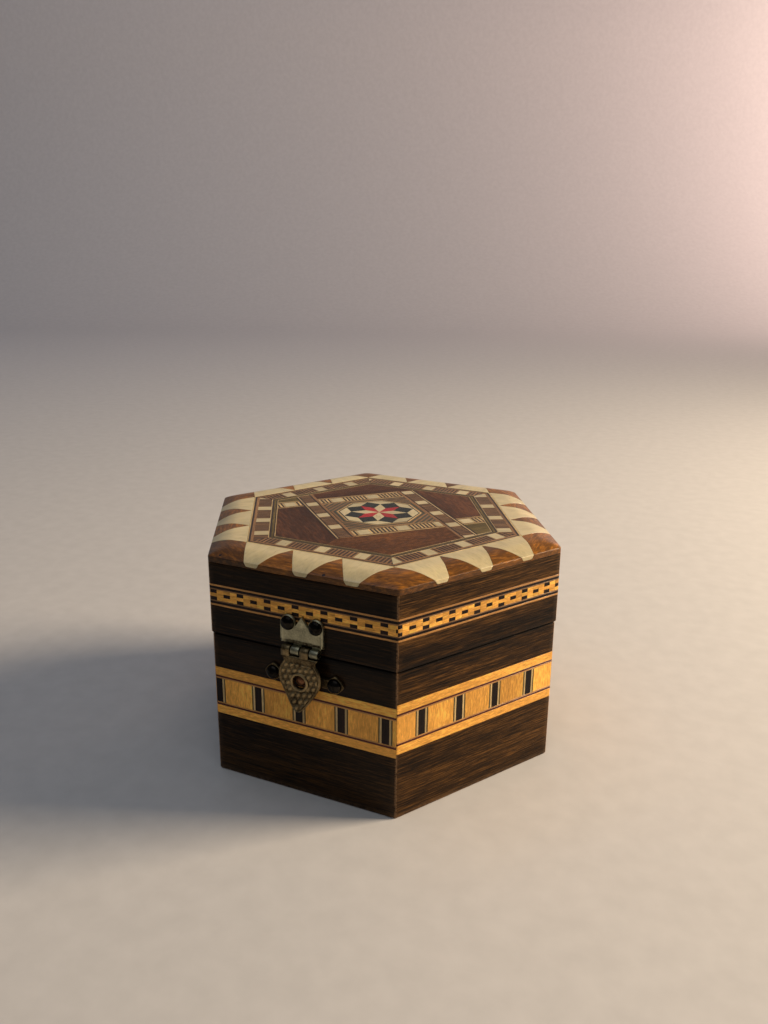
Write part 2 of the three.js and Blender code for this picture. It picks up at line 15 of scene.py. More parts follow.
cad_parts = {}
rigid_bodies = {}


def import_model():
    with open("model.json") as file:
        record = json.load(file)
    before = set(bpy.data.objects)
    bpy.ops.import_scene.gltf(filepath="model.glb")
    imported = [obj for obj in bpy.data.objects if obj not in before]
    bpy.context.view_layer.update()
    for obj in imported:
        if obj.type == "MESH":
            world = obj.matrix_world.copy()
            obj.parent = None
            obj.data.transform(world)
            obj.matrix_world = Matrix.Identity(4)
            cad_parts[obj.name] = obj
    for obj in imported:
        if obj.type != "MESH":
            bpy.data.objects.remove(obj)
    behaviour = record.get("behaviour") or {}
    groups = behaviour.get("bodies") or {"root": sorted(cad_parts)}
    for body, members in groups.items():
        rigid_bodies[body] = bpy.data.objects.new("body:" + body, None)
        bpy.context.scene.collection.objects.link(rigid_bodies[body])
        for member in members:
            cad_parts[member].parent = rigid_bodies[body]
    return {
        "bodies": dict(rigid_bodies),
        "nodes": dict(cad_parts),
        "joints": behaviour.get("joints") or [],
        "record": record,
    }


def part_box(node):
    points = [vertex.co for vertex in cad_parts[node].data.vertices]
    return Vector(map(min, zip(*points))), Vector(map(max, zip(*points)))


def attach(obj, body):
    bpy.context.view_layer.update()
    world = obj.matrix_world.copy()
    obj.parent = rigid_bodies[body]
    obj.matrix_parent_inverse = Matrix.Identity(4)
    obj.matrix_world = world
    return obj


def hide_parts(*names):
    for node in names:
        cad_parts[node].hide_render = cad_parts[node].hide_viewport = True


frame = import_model()

bl_info = {
    "name": "Inlaid hexagonal box",
    "version": (1, 0, 0),
    "blender": (4, 5, 0),
    "location": "View3D > Sidebar > Inlaid Box",
    "description": "Builds a six-sided inlaid wooden box with a hasp latch around its frame",
    "category": "Add Mesh",
}

# ------------------------------------------------------------------ the frame's own sizes

MM = 0.001
SIDES = ("front", "front_right", "back_right", "back", "back_left", "front_left")
SIXTH = math.radians(60)
MITRE = math.tan(SIXTH / 2)
UP = Vector((0, 0, 1))
TO_RIGHT = Vector((1, 0, 0))
TO_FRONT = Vector((0, -1, 0))
# Gap that is left for glue between two pieces.
GLUE_LINE = 0.05 * MM


def lowest(node, axis):
    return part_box(node)[0][axis]


def highest(node, axis):
    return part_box(node)[1][axis]


def middle_of(node, axis):
    return (lowest(node, axis) + highest(node, axis)) / 2


BODY_FACE = -lowest("body_wall_front", 1)
BODY_INNER = -highest("body_wall_front", 1)
BODY_TOP = highest("body_wall_front", 2)
LID_FACE = -lowest("lid_wall_front", 1)
LID_INNER = -highest("lid_wall_front", 1)
LID_FOOT = lowest("lid_wall_front", 2)
EDGE_FOOT = highest("lid_wall_front", 2)
LID_TOP = highest("lid_board", 2)
BOARD_FOOT = lowest("lid_board", 2)
RING_OUTER = highest("lid_ring_banding", 1)
CATCH_Z = middle_of("catch_plate", 2)
LATCH_X = middle_of("latch_plate", 0)
LATCH_AXIS_Y = middle_of("latch_pin", 1)
LATCH_AXIS_Z = middle_of("latch_pin", 2)


# ------------------------------------------------------------------ settings


def tint(code):
    """A colour written as #rrggbb, as the linear values that the shaders take."""
    shares = [int(code[i : i + 2], 16) / 255 for i in (1, 3, 5)]
    linear = [s / 12.92 if s <= 0.04045 else ((s + 0.055) / 1.055) ** 2.4 for s in shares]
    return (*linear, 1.0)


def length(name, description, millimetres):
    return bpy.props.FloatProperty(
        name=name,
        description=description,
        default=millimetres * MM,
        precision=5,
        unit="LENGTH",
    )


def colour(name, description, code):
    return bpy.props.FloatVectorProperty(
        name=name,
        description=description,
        default=tint(code),
        size=4,
        min=0.0,
        max=1.0,
        subtype="COLOR",
    )


def tilt(name, description, degrees):
    return bpy.props.FloatProperty(
        name=name, description=description, default=math.radians(degrees), subtype="ANGLE"
    )


def power(name, description, watts):
    return bpy.props.FloatProperty(
        name=name, description=description, default=watts, unit="POWER"
    )


class ShellSettings(bpy.types.PropertyGroup):
    """Sizes of the veneered walls."""

    corner_radius: length("Corner radius", "Rounding of the upright corners", 0.9)
    mitre_seam: length("Mitre seam", "Open seam between two neighbouring sides", 0.05)
    veneer: length("Veneer", "Thickness of the veneer, which shows on the rims", 0.7)
    groove: length("Groove", "Depth that the marquetry is let in", 1.0)
    ease: length("Ease", "Rounding along the edges of each small piece of marquetry", 0.035)


class EdgeSettings(bpy.types.PropertyGroup):
    """Sizes of the toothed edge round the lid."""

    teeth: bpy.props.IntProperty(
        name="Bone teeth", description="Bone teeth along each side", default=3, min=1
    )
    flat_width: length("Flat width", "Level part of the edge, outside the ring", 3.8)
    slope_bulge: length("Slope bulge", "Rise of the sloping part above a straight line", 0.28)
    face_height: length("Face height", "Upright part below the sloping part", 1.45)
    arris_radius: length("Arris radius", "Rounding where slope and face meet", 0.22)
    tip_half_width: length("Tip half width", "Half the width of a tooth's outer end", 1.5)
    tip_sway: length("Tip sway", "How far a tooth's outer end lies to the right of its root", 0.4)
    tip_lift: length("Tip lift", "Brown wood left below the teeth", 0.4)
    hip_radius: length("Hip radius", "Rounding of the corner blocks on the slope", 3.0)
    foot_radius: length("Foot radius", "Rounding of the corner blocks on the face", 1.1)


class MarquetrySettings(bpy.types.PropertyGroup):
    """Sizes of the repeating marquetry."""

    square_pitch: length("Square pitch", "From one bone square to the next", 10.7)
    square_length: length("Square length", "Length of a bone square in the ladders", 3.0)
    ring_width: length("Ring width", "Width of the banding round the lid", 6.9)
    lattice_x: length("Lattice X", "Middle of the lattice, to the right", -1.3)
    lattice_y: length("Lattice Y", "Middle of the lattice, to the back", 2.2)
    lattice_inner: length("Lattice inner", "From its middle to the inside of a strip", 12.2)
    lattice_outer: length("Lattice outer", "From its middle to the outside of a strip", 17.6)
    star_half_width: length("Star half width", "From the star's middle to its flat sides", 10.0)
    bar_pitch: length("Bar pitch", "From one dark bar of the body's band to the next", 11.2)
    bar_width: length("Bar width", "Width of those dark bars", 1.95)
    check_width: length("Check width", "Width of one check of the lid's band", 1.9)


class LatchSettings(bpy.types.PropertyGroup):
    """Sizes of the pressed brass."""

    sheet: length("Sheet", "Thickness of the brass sheet", 0.7)
    knuckle_radius: length("Knuckle radius", "Outside of the latch's rolled knuckles", 1.1)
    bore_radius: length("Bore radius", "Inside of the latch's rolled knuckles", 0.55)
    knuckle_width: length("Knuckle width", "From one knuckle to the next", 2.5)
    knuckle_gap: length("Knuckle gap", "Open gap between two knuckles", 0.3)
    hasp_width: length("Hasp width", "Widest part of the hasp", 11.2)
    hasp_length: length("Hasp length", "From below the knuckles to the tip", 13.6)
    hasp_flare: length("Hasp flare", "How far the tip bends outwards", 1.2)
    hole_radius: length("Hole radius", "Hole of the eyelet", 1.75)
    bead_height: length("Bead height", "Height of the pressed beads", 0.3)
    nail_radius: length("Nail radius", "Radius of the domed heads", 1.8)
    nail_height: length("Nail height", "Height of the domed heads", 1.3)


class ColourSettings(bpy.types.PropertyGroup):
    """Middle colours of the finishes."""

    veneer: colour("Veneer", "Dark striped veneer", "#3b260e")
    satinwood: colour("Satinwood", "Golden blocks and strips", "#f2af50")
    edge_wood: colour("Edge wood", "Brown teeth and corner blocks", "#7e4e14")
    bone: colour("Bone", "Teeth and squares", "#d3c295")
    mahogany: colour("Mahogany", "Fields of the lid", "#4d2e1a")
    olive: colour("Olive wood", "Small fields of the lid", "#62532f")
    cloth: colour("Cloth", "Felt linings", "#6e1f24")
    brass: colour("Brass", "Rubbed brass", "#a8a488")
    patina: colour("Patina", "Brown layer in the hollows of the brass", "#3a2e1e")


class StageSettings(bpy.types.PropertyGroup):
    """Camera, lights and floor."""

    place: bpy.props.FloatVectorProperty(
        name="Camera place",
        description="Where the camera stands",
        default=(0.09595, -0.20526, 0.13101),
        size=3,
        precision=5,
        subtype="TRANSLATION",
        unit="LENGTH",
    )
    azimuth: tilt("Azimuth", "Turn of the view to the right of straight ahead", 24.72)
    elevation: tilt("Elevation", "How far the view looks down", 17.18)
    roll: tilt("Roll", "Tilt of the camera about its view", 0.44)
    lens: bpy.props.FloatProperty(
        name="Lens",
        description="Focal length for a 36 mm sensor",
        default=30.82,
        subtype="DISTANCE_CAMERA",
    )
    floor: colour("Floor", "Plain pale floor and backdrop", "#c9c6c2")
    key_power: power("Key power", "Warm light from the right", 11.2)
    fill_power: power("Fill power", "Soft cool light from above", 2.9)
    wash_power: power("Wash power", "Cool light on the backdrop", 3.0)
    glow_power: power("Glow power", "Warm light on the backdrop", 15.0)


class BoxSettings(bpy.types.PropertyGroup):
    """Everything that can be changed on the box and its stage."""

    shell: bpy.props.PointerProperty(type=ShellSettings, name="Shell")
    edge: bpy.props.PointerProperty(type=EdgeSettings, name="Lid edge")
    marquetry: bpy.props.PointerProperty(type=MarquetrySettings, name="Marquetry")
    latch: bpy.props.PointerProperty(type=LatchSettings, name="Latch")
    colours: bpy.props.PointerProperty(type=ColourSettings, name="Colours")
    stage: bpy.props.PointerProperty(type=StageSettings, name="Stage")


def settings():
    return bpy.context.scene.inlaid_box


# ------------------------------------------------------------------ materials

# Wood where the varnish and its colour have worn off.
BARE_WOOD = tint("#8a6a4c")


class Shading:
    """The nodes of one material, round one shader."""

    def __init__(self, name, roughness=0.4, **sockets):
        self.material = bpy.data.materials.new(name)
        self.material.use_nodes = True
        self.tree = self.material.node_tree
        self.tree.nodes.clear()
        self.shader = self.tree.nodes.new("ShaderNodeBsdfPrincipled")
        output = self.tree.nodes.new("ShaderNodeOutputMaterial")
        self.tree.links.new(self.shader.outputs["BSDF"], output.inputs["Surface"])
        self.shader.inputs["Roughness"].default_value = roughness
        for socket, value in sockets.items():
            self.shader.inputs[socket.replace("_", " ")].default_value = value

    def feed(self, socket, value):
        """Sets a socket to a number or a colour, or links it to another node's output."""
        if isinstance(value, bpy.types.NodeSocket):
            self.tree.links.new(value, socket)
        else:
            socket.default_value = value

    def onto(self, socket, value):
        """Feeds one of the shader's own sockets."""
        self.feed(self.shader.inputs[socket], value)

    def place(self):
        """The piece's own coordinates, in metres."""
        return self.tree.nodes.new("ShaderNodeTexCoord").outputs["Object"]

    def attribute(self, name, output):
        node = self.tree.nodes.new("ShaderNodeAttribute")
        node.attribute_name = name
        return node.outputs[output]

    def maths(self, operation, first, second=0.0, third=0.0):
        node = self.tree.nodes.new("ShaderNodeMath")
        node.operation = operation
        for socket, value in zip(node.inputs, (first, second, third)):
            self.feed(socket, value)
        return node.outputs["Value"]

    def scaled(self, vector, scale):
        node = self.tree.nodes.new("ShaderNodeVectorMath")
        node.operation = "MULTIPLY"
        self.feed(node.inputs[0], vector)
        node.inputs[1].default_value = scale
        return node.outputs["Vector"]

    def evenly(self, vector, scale, *noise):
        """Noise that is the same in every direction."""
        return self.noise(self.scaled(vector, (scale, scale, scale)), *noise)

    def toned(self, colours, factor):
        """Colours made lighter or darker by the factor."""
        return self.mix(1.0, colours, factor, "MULTIPLY")

    def noise(self, vector, detail=3.0, roughness=0.5, distortion=0.0):
        node = self.tree.nodes.new("ShaderNodeTexNoise")
        self.feed(node.inputs["Vector"], vector)
        node.inputs["Scale"].default_value = 1.0
        node.inputs["Detail"].default_value = detail
        node.inputs["Roughness"].default_value = roughness
        node.inputs["Distortion"].default_value = distortion
        return node.outputs["Fac"]

    def ramp(self, factor, stops):
        """A colour ramp, or a grey one where the stops are numbers."""
        node = self.tree.nodes.new("ShaderNodeValToRGB")
        elements = node.color_ramp.elements
        while len(elements) < len(stops):
            elements.new(1.0)
        for element, (position, value) in zip(elements, stops):
            element.position = position
            element.color = value if isinstance(value, tuple) else (value, value, value, 1.0)
        self.feed(node.inputs["Fac"], factor)
        return node.outputs["Color"]

    def mix(self, factor, first, second, blend="MIX"):
        node = self.tree.nodes.new("ShaderNodeMix")
        node.data_type = "RGBA"
        node.blend_type = blend
        self.feed(node.inputs["Factor"], factor)
        self.feed(node.inputs["A"], first)
        self.feed(node.inputs["B"], second)
        return next(o for o in node.outputs if o.type == "RGBA")

    def bump(self, height, strength, distance):
        node = self.tree.nodes.new("ShaderNodeBump")
        node.inputs["Strength"].default_value = strength
        node.inputs["Distance"].default_value = distance
        self.feed(node.inputs["Height"], height)
        self.onto("Normal", node.outputs["Normal"])
        self.onto("Coat Normal", node.outputs["Normal"])


def chosen(name):
    """One of the colours that can be changed."""
    return tuple(getattr(settings().colours, name))


def shade(base, factor):
    """The same hue, darker or lighter."""
    return (*(min(1.0, channel * factor) for channel in base[:3]), 1.0)


def wood(name, base, contrast, figure=(0.03, 0.45), wave=0.6, pores=0.35, varnish=0.5, streak=4):
    """Varnished wood. Its figure runs along the grain that the mesh carries, in millimetres."""
    gloss = 0.1 + 0.3 * varnish
    shading = Shading(
        name, Coat_Weight=0.8 * varnish, Coat_Roughness=0.16, Specular_IOR_Level=gloss
    )
    grain = shading.attribute("grain", "Vector")
    along, across = figure

    def figured(lengthways, crossways, detail, roughness=0.5, bend=0.0):
        stretched = shading.scaled(grain, (lengthways, crossways, crossways))
        return shading.noise(stretched, detail, roughness, bend)

    broad = figured(along, across, 4.0, 0.55, wave)
    streaks = figured(5.5 * along, streak * across, 3.0, 0.7, 0.2)
    bands = figured(0.25 * along, 0.22 * across, 2.0)
    fibres = figured(0.35, 7.0, 2.0)
    dashes = figured(0.5, 9.0, 1.0)
    patches = shading.ramp(figured(0.9, 1.4, 4.0, 0.7), ((0.36, 0.0), (0.56, 1.0)))
    level = shading.maths("MULTIPLY", broad, 0.24)
    for part, share in ((streaks, 0.76), (bands, 0.5), (fibres, 0.18)):
        level = shading.maths("MULTIPLY_ADD", part, share, level)
    stops = (
        (0.7, shade(base, 1 - contrast)),
        (0.82, shade(base, 1 - 0.4 * contrast)),
        (0.9, shade(base, 1 + 0.6 * contrast)),
        (1.0, shade(base, 1 + 2.2 * contrast)),
    )
    colours = shading.ramp(level, stops)
    open_pores = shading.ramp(dashes, ((0.32, 1.0), (0.42, 0.0)))
    darkening = shading.maths("MULTIPLY_ADD", open_pores, -pores, 1.0)
    tone = shading.maths("ADD", shading.attribute("tone", "Fac"), 1.0)
    toned = shading.toned(colours, shading.maths("MULTIPLY", darkening, tone))
    worn = shading.maths("MULTIPLY", shading.attribute("wear", "Fac"), patches)
    bare = shading.mix(worn, toned, BARE_WOOD)
    shading.onto("Base Color", bare)
    rough = shading.maths("MULTIPLY_ADD", dashes, 0.3, 0.25)
    shading.onto("Roughness", rough)
    brushed = figured(0.12, 0.5, 2.0)
    sunken = shading.maths("MULTIPLY", open_pores, -0.6)
    relief = shading.maths("MULTIPLY_ADD", brushed, 2.0, sunken)
    relief = shading.maths("MULTIPLY_ADD", fibres, 0.35, relief)
    shading.bump(relief, 0.5, 0.03 * MM)
    return shading.material


def bone_finish(name):
    """Polished bone: pale, slightly clouded and a little see-through."""
    base = chosen("bone")
    shading = Shading(
        name, Coat_Weight=0.25, Coat_Roughness=0.12, Specular_IOR_Level=0.3, Subsurface_Weight=0.35
    )
    shading.shader.inputs["Subsurface Radius"].default_value = (1.0, 0.75, 0.45)
    shading.shader.inputs["Subsurface Scale"].default_value = 0.9 * MM
    grain = shading.attribute("grain", "Vector")
    clouds = shading.noise(shading.scaled(grain, (0.16, 0.35, 0.35)), 4.0, 0.6, 0.4)
    streaks = shading.noise(shading.scaled(grain, (0.3, 2.6, 2.6)), 3.0)
    stops = ((0.32, shade(base, 0.8)), (0.5, base), (0.7, shade(base, 1.15)))
    mixed = shading.maths("MULTIPLY_ADD", streaks, 0.35, shading.maths("MULTIPLY", clouds, 0.65))
    tone = shading.maths("ADD", shading.attribute("tone", "Fac"), 1.0)
    shading.onto("Base Color", shading.toned(shading.ramp(mixed, stops), tone))
    rough = shading.maths("MULTIPLY_ADD", streaks, 0.25, 0.2)
    shading.onto("Roughness", rough)
    shading.bump(clouds, 0.4, 0.05 * MM)
    return shading.material


def patinated(shading, place, scales, stops, polish, roughness):
    """Brass under a patina in clouds and specks, which has gone where the piece is worn."""
    clouds = shading.evenly(place, scales[0], 5.0, 0.65)
    specks = shading.evenly(place, scales[1], 3.0, 0.6)
    layer = shading.maths("MULTIPLY_ADD", clouds, 0.6, shading.maths("MULTIPLY", specks, 0.4))
    level = layer
    if polish:
        level = shading.maths("MULTIPLY_ADD", shading.attribute("wear", "Fac"), polish, layer)
    shading.onto("Base Color", shading.ramp(level, stops))
    shading.onto("Roughness", shading.maths("MULTIPLY_ADD", layer, -0.35, roughness))
    shading.bump(specks, 0.35, 0.05 * MM)
    return shading.material


def brass_finish(name, base, patina, polish, smooth=0.0):
    """Old brass: bright where it is rubbed, brown in the hollows."""
    shading = Shading(name, Metallic=1.0)
    place = shading.attribute("grain", "Vector")
    stops = ((0.42, patina), (0.55, shade(base, 0.5)), (0.78, base), (1.0, shade(base, 1.35)))
    return patinated(shading, place, (0.35, 2.6), stops, polish, 0.58 - smooth)


def hinge_finish(name):
    """The hinges' brass, patterned by the piece's own coordinates."""
    base = chosen("brass")
    shading = Shading(name, Metallic=1.0)
    place = shading.place()
    stops = ((0.4, chosen("patina")), (0.52, shade(base, 0.6)), (0.66, base))
    return patinated(shading, place, (400.0, 2600.0), stops, 0.0, 0.55)


def felt_finish(name):
    """Short fibres in every direction, matt with a soft sheen."""
    base = chosen("cloth")
    shading = Shading(name, 0.95, Sheen_Weight=0.5, Sheen_Roughness=0.4)
    place = shading.attribute("grain", "Vector")
    tufts = shading.evenly(place, 1.1, 5.0, 0.7, 1.2)
    hairs = shading.evenly(place, 7.0, 3.0, 0.7, 2.0)
    level = shading.maths("MULTIPLY_ADD", hairs, 0.5, shading.maths("MULTIPLY", tufts, 0.5))
    stops = ((0.35, shade(base, 0.55)), (0.52, base), (0.68, shade(base, 1.6)))
    shading.onto("Base Color", shading.ramp(level, stops))
    shading.bump(level, 0.8, 0.25 * MM)
    return shading.material


def floor_finish(name):
    """Plain pale paper with a very faint mottling."""
    base = tuple(settings().stage.floor)
    shading = Shading(name, 0.85)
    mottling = shading.evenly(shading.place(), 160.0, 3.0)
    stops = ((0.3, shade(base, 0.96)), (0.7, shade(base, 1.03)))
    shading.onto("Base Color", shading.ramp(mottling, stops))
    return shading.material


def small_wood(code, contrast=0.25, **options):
    """A maker for a plain wood that only shows in small pieces."""
    options.setdefault("pores", 0.15)
    options.setdefault("varnish", 0.3)
    return lambda name: wood(name, tint(code), contrast, (0.06, 0.9), **options)


FINISHES = {
    "veneer": lambda name: wood(name, chosen("veneer"), 0.92, (0.022, 0.5), 0.4, 0.7, 0.04, 6.5),
    "carcass_wood": lambda name: wood(name, tint("#9a7246"), 0.25, varnish=0.0),
    "satinwood": lambda name: wood(name, chosen("satinwood"), 0.22, (0.09, 0.5), 1.2, 0.35, 0.15),
    "edge_wood": lambda name: wood(name, chosen("edge_wood"), 0.5, (0.06, 0.35), 0.9, 0.4, 0.35),
    "mahogany": lambda name: wood(name, chosen("mahogany"), 0.4, (0.05, 0.4), 1.1, 0.35, 0.08),
    "olive_wood": lambda name: wood(name, chosen("olive"), 0.35, (0.05, 0.6), 0.8, 0.2, 0.08),
    "curly_wood": lambda name: wood(name, tint("#5c381b"), 0.45, (0.14, 0.35), 1.6, 0.35, 0.08),
    "ebony": small_wood("#1a0e0a", 0.5, varnish=0.1),
    "cream_line": small_wood("#c4a874"),
    "tan_line": small_wood("#c08a4c"),
    "red_line": small_wood("#4c170c"),
    "olive_line": small_wood("#4a4528"),
    "tan_wood": small_wood("#84603a"),
    "ladder_dark": small_wood("#2b1d13"),
    "dyed_red": small_wood("#ac2226"),
    "dyed_black": small_wood("#0e1a16"),
    "grey_green": small_wood("#343a2c"),
    "filler": small_wood("#20120a"),
    "bone": bone_finish,
    "antique_brass": lambda name: brass_finish(name, chosen("brass"), chosen("patina"), 0.35),
    "worn_brass": lambda name: brass_finish(name, tint("#94815e"), chosen("patina"), 0.28),
    "brown_brass": lambda name: brass_finish(name, tint("#94694c"), tint("#4a3022"), 0.3),
    "dark_brass": lambda name: brass_finish(name, tint("#3a3630"), tint("#0d0b0a"), 0.3, 0.32),
    "hinge_brass": hinge_finish,
    "cloth": felt_finish,
    "floor": floor_finish,
}


def finish(name):
    """A finish by name, made when it is first asked for."""
    label = f"{name}_finish"
    return bpy.data.materials.get(label) or FINISHES[name](label)


# ------------------------------------------------------------------ mesh work

# Thickness of the tiles in the lid's top, and the smallest one worth laying.
TILE_DEPTH = 0.95 * MM
LEAST_TILE = 0.03 * MM * MM
# Distance from a board's middle to the sides of the small hexagon that closes its faces.
BOARD_CORE = 1 * MM
# Painted shade: the bone squares on the lid's top are a little darker than the bone teeth, to
# stand for less light on the top.
FLAT_BONE_PAINTED_SHADE = -0.16


def side_axes(side):
    """Straight out of a side of the box, and along it to the right."""
    turn = side * SIXTH
    outward = Vector((math.sin(turn), -math.cos(turn), 0))
    along = Vector((math.cos(turn), math.sin(turn), 0))
    return outward, along


class Bench:
    """Gathers the faces of one piece, each with its finish, its grain and its tone."""

    def __init__(self, name):
        self.name = name
        self.chance = random.Random(name)
        self.points = []
        self.wear = []
        self.faces = []
        self.facts = []
        self.used = []

    def add(self, points, faces, look, grain, tone=0.0, wear=None):
        """Grain is the direction of the fibres, one across them, and a number for the cut.

        Tone is one number, or one for each face."""
        start = len(self.points)
        self.points.extend(Vector(p) for p in points)
        self.wear.extend(wear if wear else [0.0] * len(points))
        if look not in self.used:
            self.used.append(look)
        tones = tone if isinstance(tone, list) else [tone] * len(faces)
        for face, shift in zip(faces, tones):
            self.faces.append([start + i for i in face])
            self.facts.append((self.used.index(look), grain, shift))

    def cut_of(self, along, across):
        """A grain that starts at a place of its own in the plank."""
        return along, across, self.chance.uniform(0.0, 900.0)

    def make(self, body, nodes, crease=35):
        """The finished object, riding on its body and standing for its nodes."""
        mesh = bpy.data.meshes.new(self.name)
        mesh.from_pydata(self.points, [], self.faces)
        shell = bmesh.new()
        shell.from_mesh(mesh)
        bmesh.ops.recalc_face_normals(shell, faces=shell.faces[:])
        shell.to_mesh(mesh)
        shell.free()
        for look in self.used:
            mesh.materials.append(finish(look))
        grains = []
        tones = []
        for polygon, (look, (along, across, seed), shift) in zip(mesh.polygons, self.facts):
            polygon.material_index = look
            polygon.use_smooth = True
            third = along.cross(across)
            for loop in polygon.loop_indices:
                point = self.points[mesh.loops[loop].vertex_index] / MM
                grains.extend((point.dot(along), point.dot(across), point.dot(third) + seed))
                tones.append(shift)
        for kind, domain, name, field_name, values in (
            ("FLOAT_VECTOR", "CORNER", "grain", "vector", grains),
            ("FLOAT", "CORNER", "tone", "value", tones),
            ("FLOAT", "POINT", "wear", "value", self.wear),
        ):
            mesh.attributes.new(name, kind, domain)
            mesh.attributes[name].data.foreach_set(field_name, values)
        mesh.set_sharp_from_angle(angle=math.radians(crease))
        piece = bpy.data.objects.new(self.name, mesh)
        bpy.context.collection.objects.link(piece)
        if nodes:
            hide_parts(*nodes)
        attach(piece, body)
        return piece


def loft(bench, stations, look, grain, tone=0.0, wear=None, looks=None, tones=None):
    """Skins a row of closed outlines and closes both ends. Looks and tones may go edge by edge."""
    count = len(stations[0])
    points = [p for station in stations for p in station]
    ends = [list(range(count)), list(range(len(points) - count, len(points)))]
    quads = [
        [
            [row + i, row + (i + 1) % count, row + count + (i + 1) % count, row + count + i]
            for row in range(0, len(points) - count, count)
        ]
        for i in range(count)
    ]
    start = len(bench.points)
    bench.add(points, ends, look, grain, tone, wear)
    for i, strip in enumerate(quads):
        here = looks[i] if looks else look
        if here not in bench.used:
            bench.used.append(here)
        for face in strip:
            bench.faces.append([start + j for j in face])
            bench.facts.append((bench.used.index(here), grain, tones[i] if tones else tone))


def turned(bench, profile, origin, axis, look, wear=None, segments=32):
    """A turned solid. The profile's points are (radius, distance along the axis)."""
    axis = axis.normalized()
    first = axis.orthogonal().normalized()
    second = axis.cross(first)
    closed = profile[0][0] > 0 and profile[-1][0] > 0
    points = []
    rings = []
    shown = []
    for i, (radius, reach) in enumerate(profile):
        centre = origin + axis * reach
        steps = segments if radius > 0 else 1
        rings.append(list(range(len(points), len(points) + steps)))
        for step in range(steps):
            angle = 2 * math.pi * step / segments
            points.append(centre + radius * (math.cos(angle) * first + math.sin(angle) * second))
        shown.extend([wear[i] if wear else 0.0] * steps)
    pairs = list(zip(rings, rings[1:]))
    if closed:
        pairs.append((rings[-1], rings[0]))
    faces = []
    for one, other in pairs:
        for step in range(segments):
            after = (step + 1) % segments
            corners = [
                one[step % len(one)],
                one[after % len(one)],
                other[after % len(other)],
                other[step % len(other)],
            ]
            faces.append(list(dict.fromkeys(corners)))
    bench.add(points, faces, look, bench.cut_of(axis, first), 0.0, shown)


def skin(bench, rows, columns, point, depth, ease, look, grain, tone=0.0, row_tone=None):
    """A closed slab under a curved surface, with its border eased."""
    last_row = len(rows) - 1
    last_column = len(columns) - 1
    top = []
    bottom = []
    for i, row in enumerate(rows):
        for j, column in enumerate(columns):
            border = i in (0, last_row) or j in (0, last_column)
            top.append(point(row, column, ease if border else 0.0))
            bottom.append(point(row, column, depth))
    width = len(columns)
    under = len(top)
    faces = []
    tones = []
    for i in range(last_row):
        shift = tone + (row_tone(rows[i]) if row_tone else 0.0)
        for j in range(last_column):
            a = i * width + j
            faces.append([a, a + 1, a + width + 1, a + width])
            faces.append([under + a + width, under + a + width + 1, under + a + 1, under + a])
            tones.extend((shift, tone))
    loop = list(range(width))
    loop += [i * width + last_column for i in range(1, last_row + 1)]
    loop += [last_row * width + j for j in range(last_column - 1, -1, -1)]
    loop += [i * width for i in range(last_row - 1, 0, -1)]
    for here, there in zip(loop, loop[1:] + loop[:1]):
        faces.append([there, here, under + here, under + there])
    tones.extend([tone] * (len(faces) - len(tones)))
    bench.add(top + bottom, faces, look, grain, tones)


def inset(polygon, amount):
    """A convex or nearly convex outline, moved inwards by the amount."""
    moved = []
    count = len(polygon)
    for i, point in enumerate(polygon):
        before = (point - polygon[i - 1]).normalized()
        after = (polygon[(i + 1) % count] - point).normalized()
        first = Vector((-before.y, before.x))
        second = Vector((-after.y, after.x))
        spread = max(1 + first.dot(second), 0.35)
        moved.append(point + (first + second) * (amount / spread))
    return moved


def area_of(polygon):
    pairs = zip(polygon, polygon[1:] + polygon[:1])
    return sum(a.x * b.y - b.x * a.y for a, b in pairs) / 2


def clipped(polygon, limits):
    """The part of a convex outline within every limit, each a direction and its greatest reach."""
    for direction, reach in limits:
        kept = []
        for here, there in zip(polygon, polygon[1:] + polygon[:1]):
            over = here.dot(direction) - reach
            next_over = there.dot(direction) - reach
            if over <= 0:
                kept.append(here)
            if (over < 0 < next_over) or (next_over < 0 < over):
                kept.append(here.lerp(there, over / (over - next_over)))
        polygon = kept
        if len(polygon) < 3:
            return []
    return polygon


def tile(bench, polygon, look, fibres, tone=None):
    """A flat piece of marquetry in the lid's top, with eased upper edges."""
    polygon = [Vector(p[:2]) for p in polygon]
    if len(polygon) < 3 or abs(area_of(polygon)) < LEAST_TILE:
        return
    if area_of(polygon) < 0:
        polygon.reverse()
    ease = settings().shell.ease
    eased = inset(polygon, ease)
    rings = [(polygon, LID_TOP - TILE_DEPTH), (polygon, LID_TOP - ease), (eased, LID_TOP)]
    points = [Vector((p.x, p.y, z)) for outline, z in rings for p in outline]
    count = len(polygon)
    faces = [list(range(count))[::-1], list(range(2 * count, 3 * count))]
    for base in (0, count):
        for i in range(count):
            after = (i + 1) % count
            faces.append([base + i, base + after, base + count + after, base + count + i])
    along = Vector((fibres[0], fibres[1], 0)).normalized()
    across = UP.cross(along)
    shift = bench.chance.uniform(-0.12, 0.12) if tone is None else tone
    # Bone on the lid's top gets painted shade.
    if look == "bone":
        shift += FLAT_BONE_PAINTED_SHADE
    bench.add(points, faces, look, bench.cut_of(along, across), shift)


def hexagon_stack(bench, profile, look):
    """A six-sided board. The profile's points are (distance from the middle to a side, height)."""
    steps = 8
    rings = []
    for apothem, z in profile:
        ring = []
        for side in range(6):
            outward, along = side_axes(side)
            for step in range(steps):
                share = 2 * step / steps - 1
                point = outward * apothem + along * (share * apothem * MITRE)
                ring.append(Vector((point.x, point.y, z)))
        rings.append(ring)
    loft(bench, rings, look, bench.cut_of(TO_RIGHT, -TO_FRONT))


# ------------------------------------------------------------------ walls

# How much lighter or darker each side's veneer is than its middle colour: partly a random
# difference, partly painted shade that darkens the front sides.
WALL_TONES_AND_SHADE = (-0.5, 0.1, -0.1, -0.25, -0.1, -0.3)
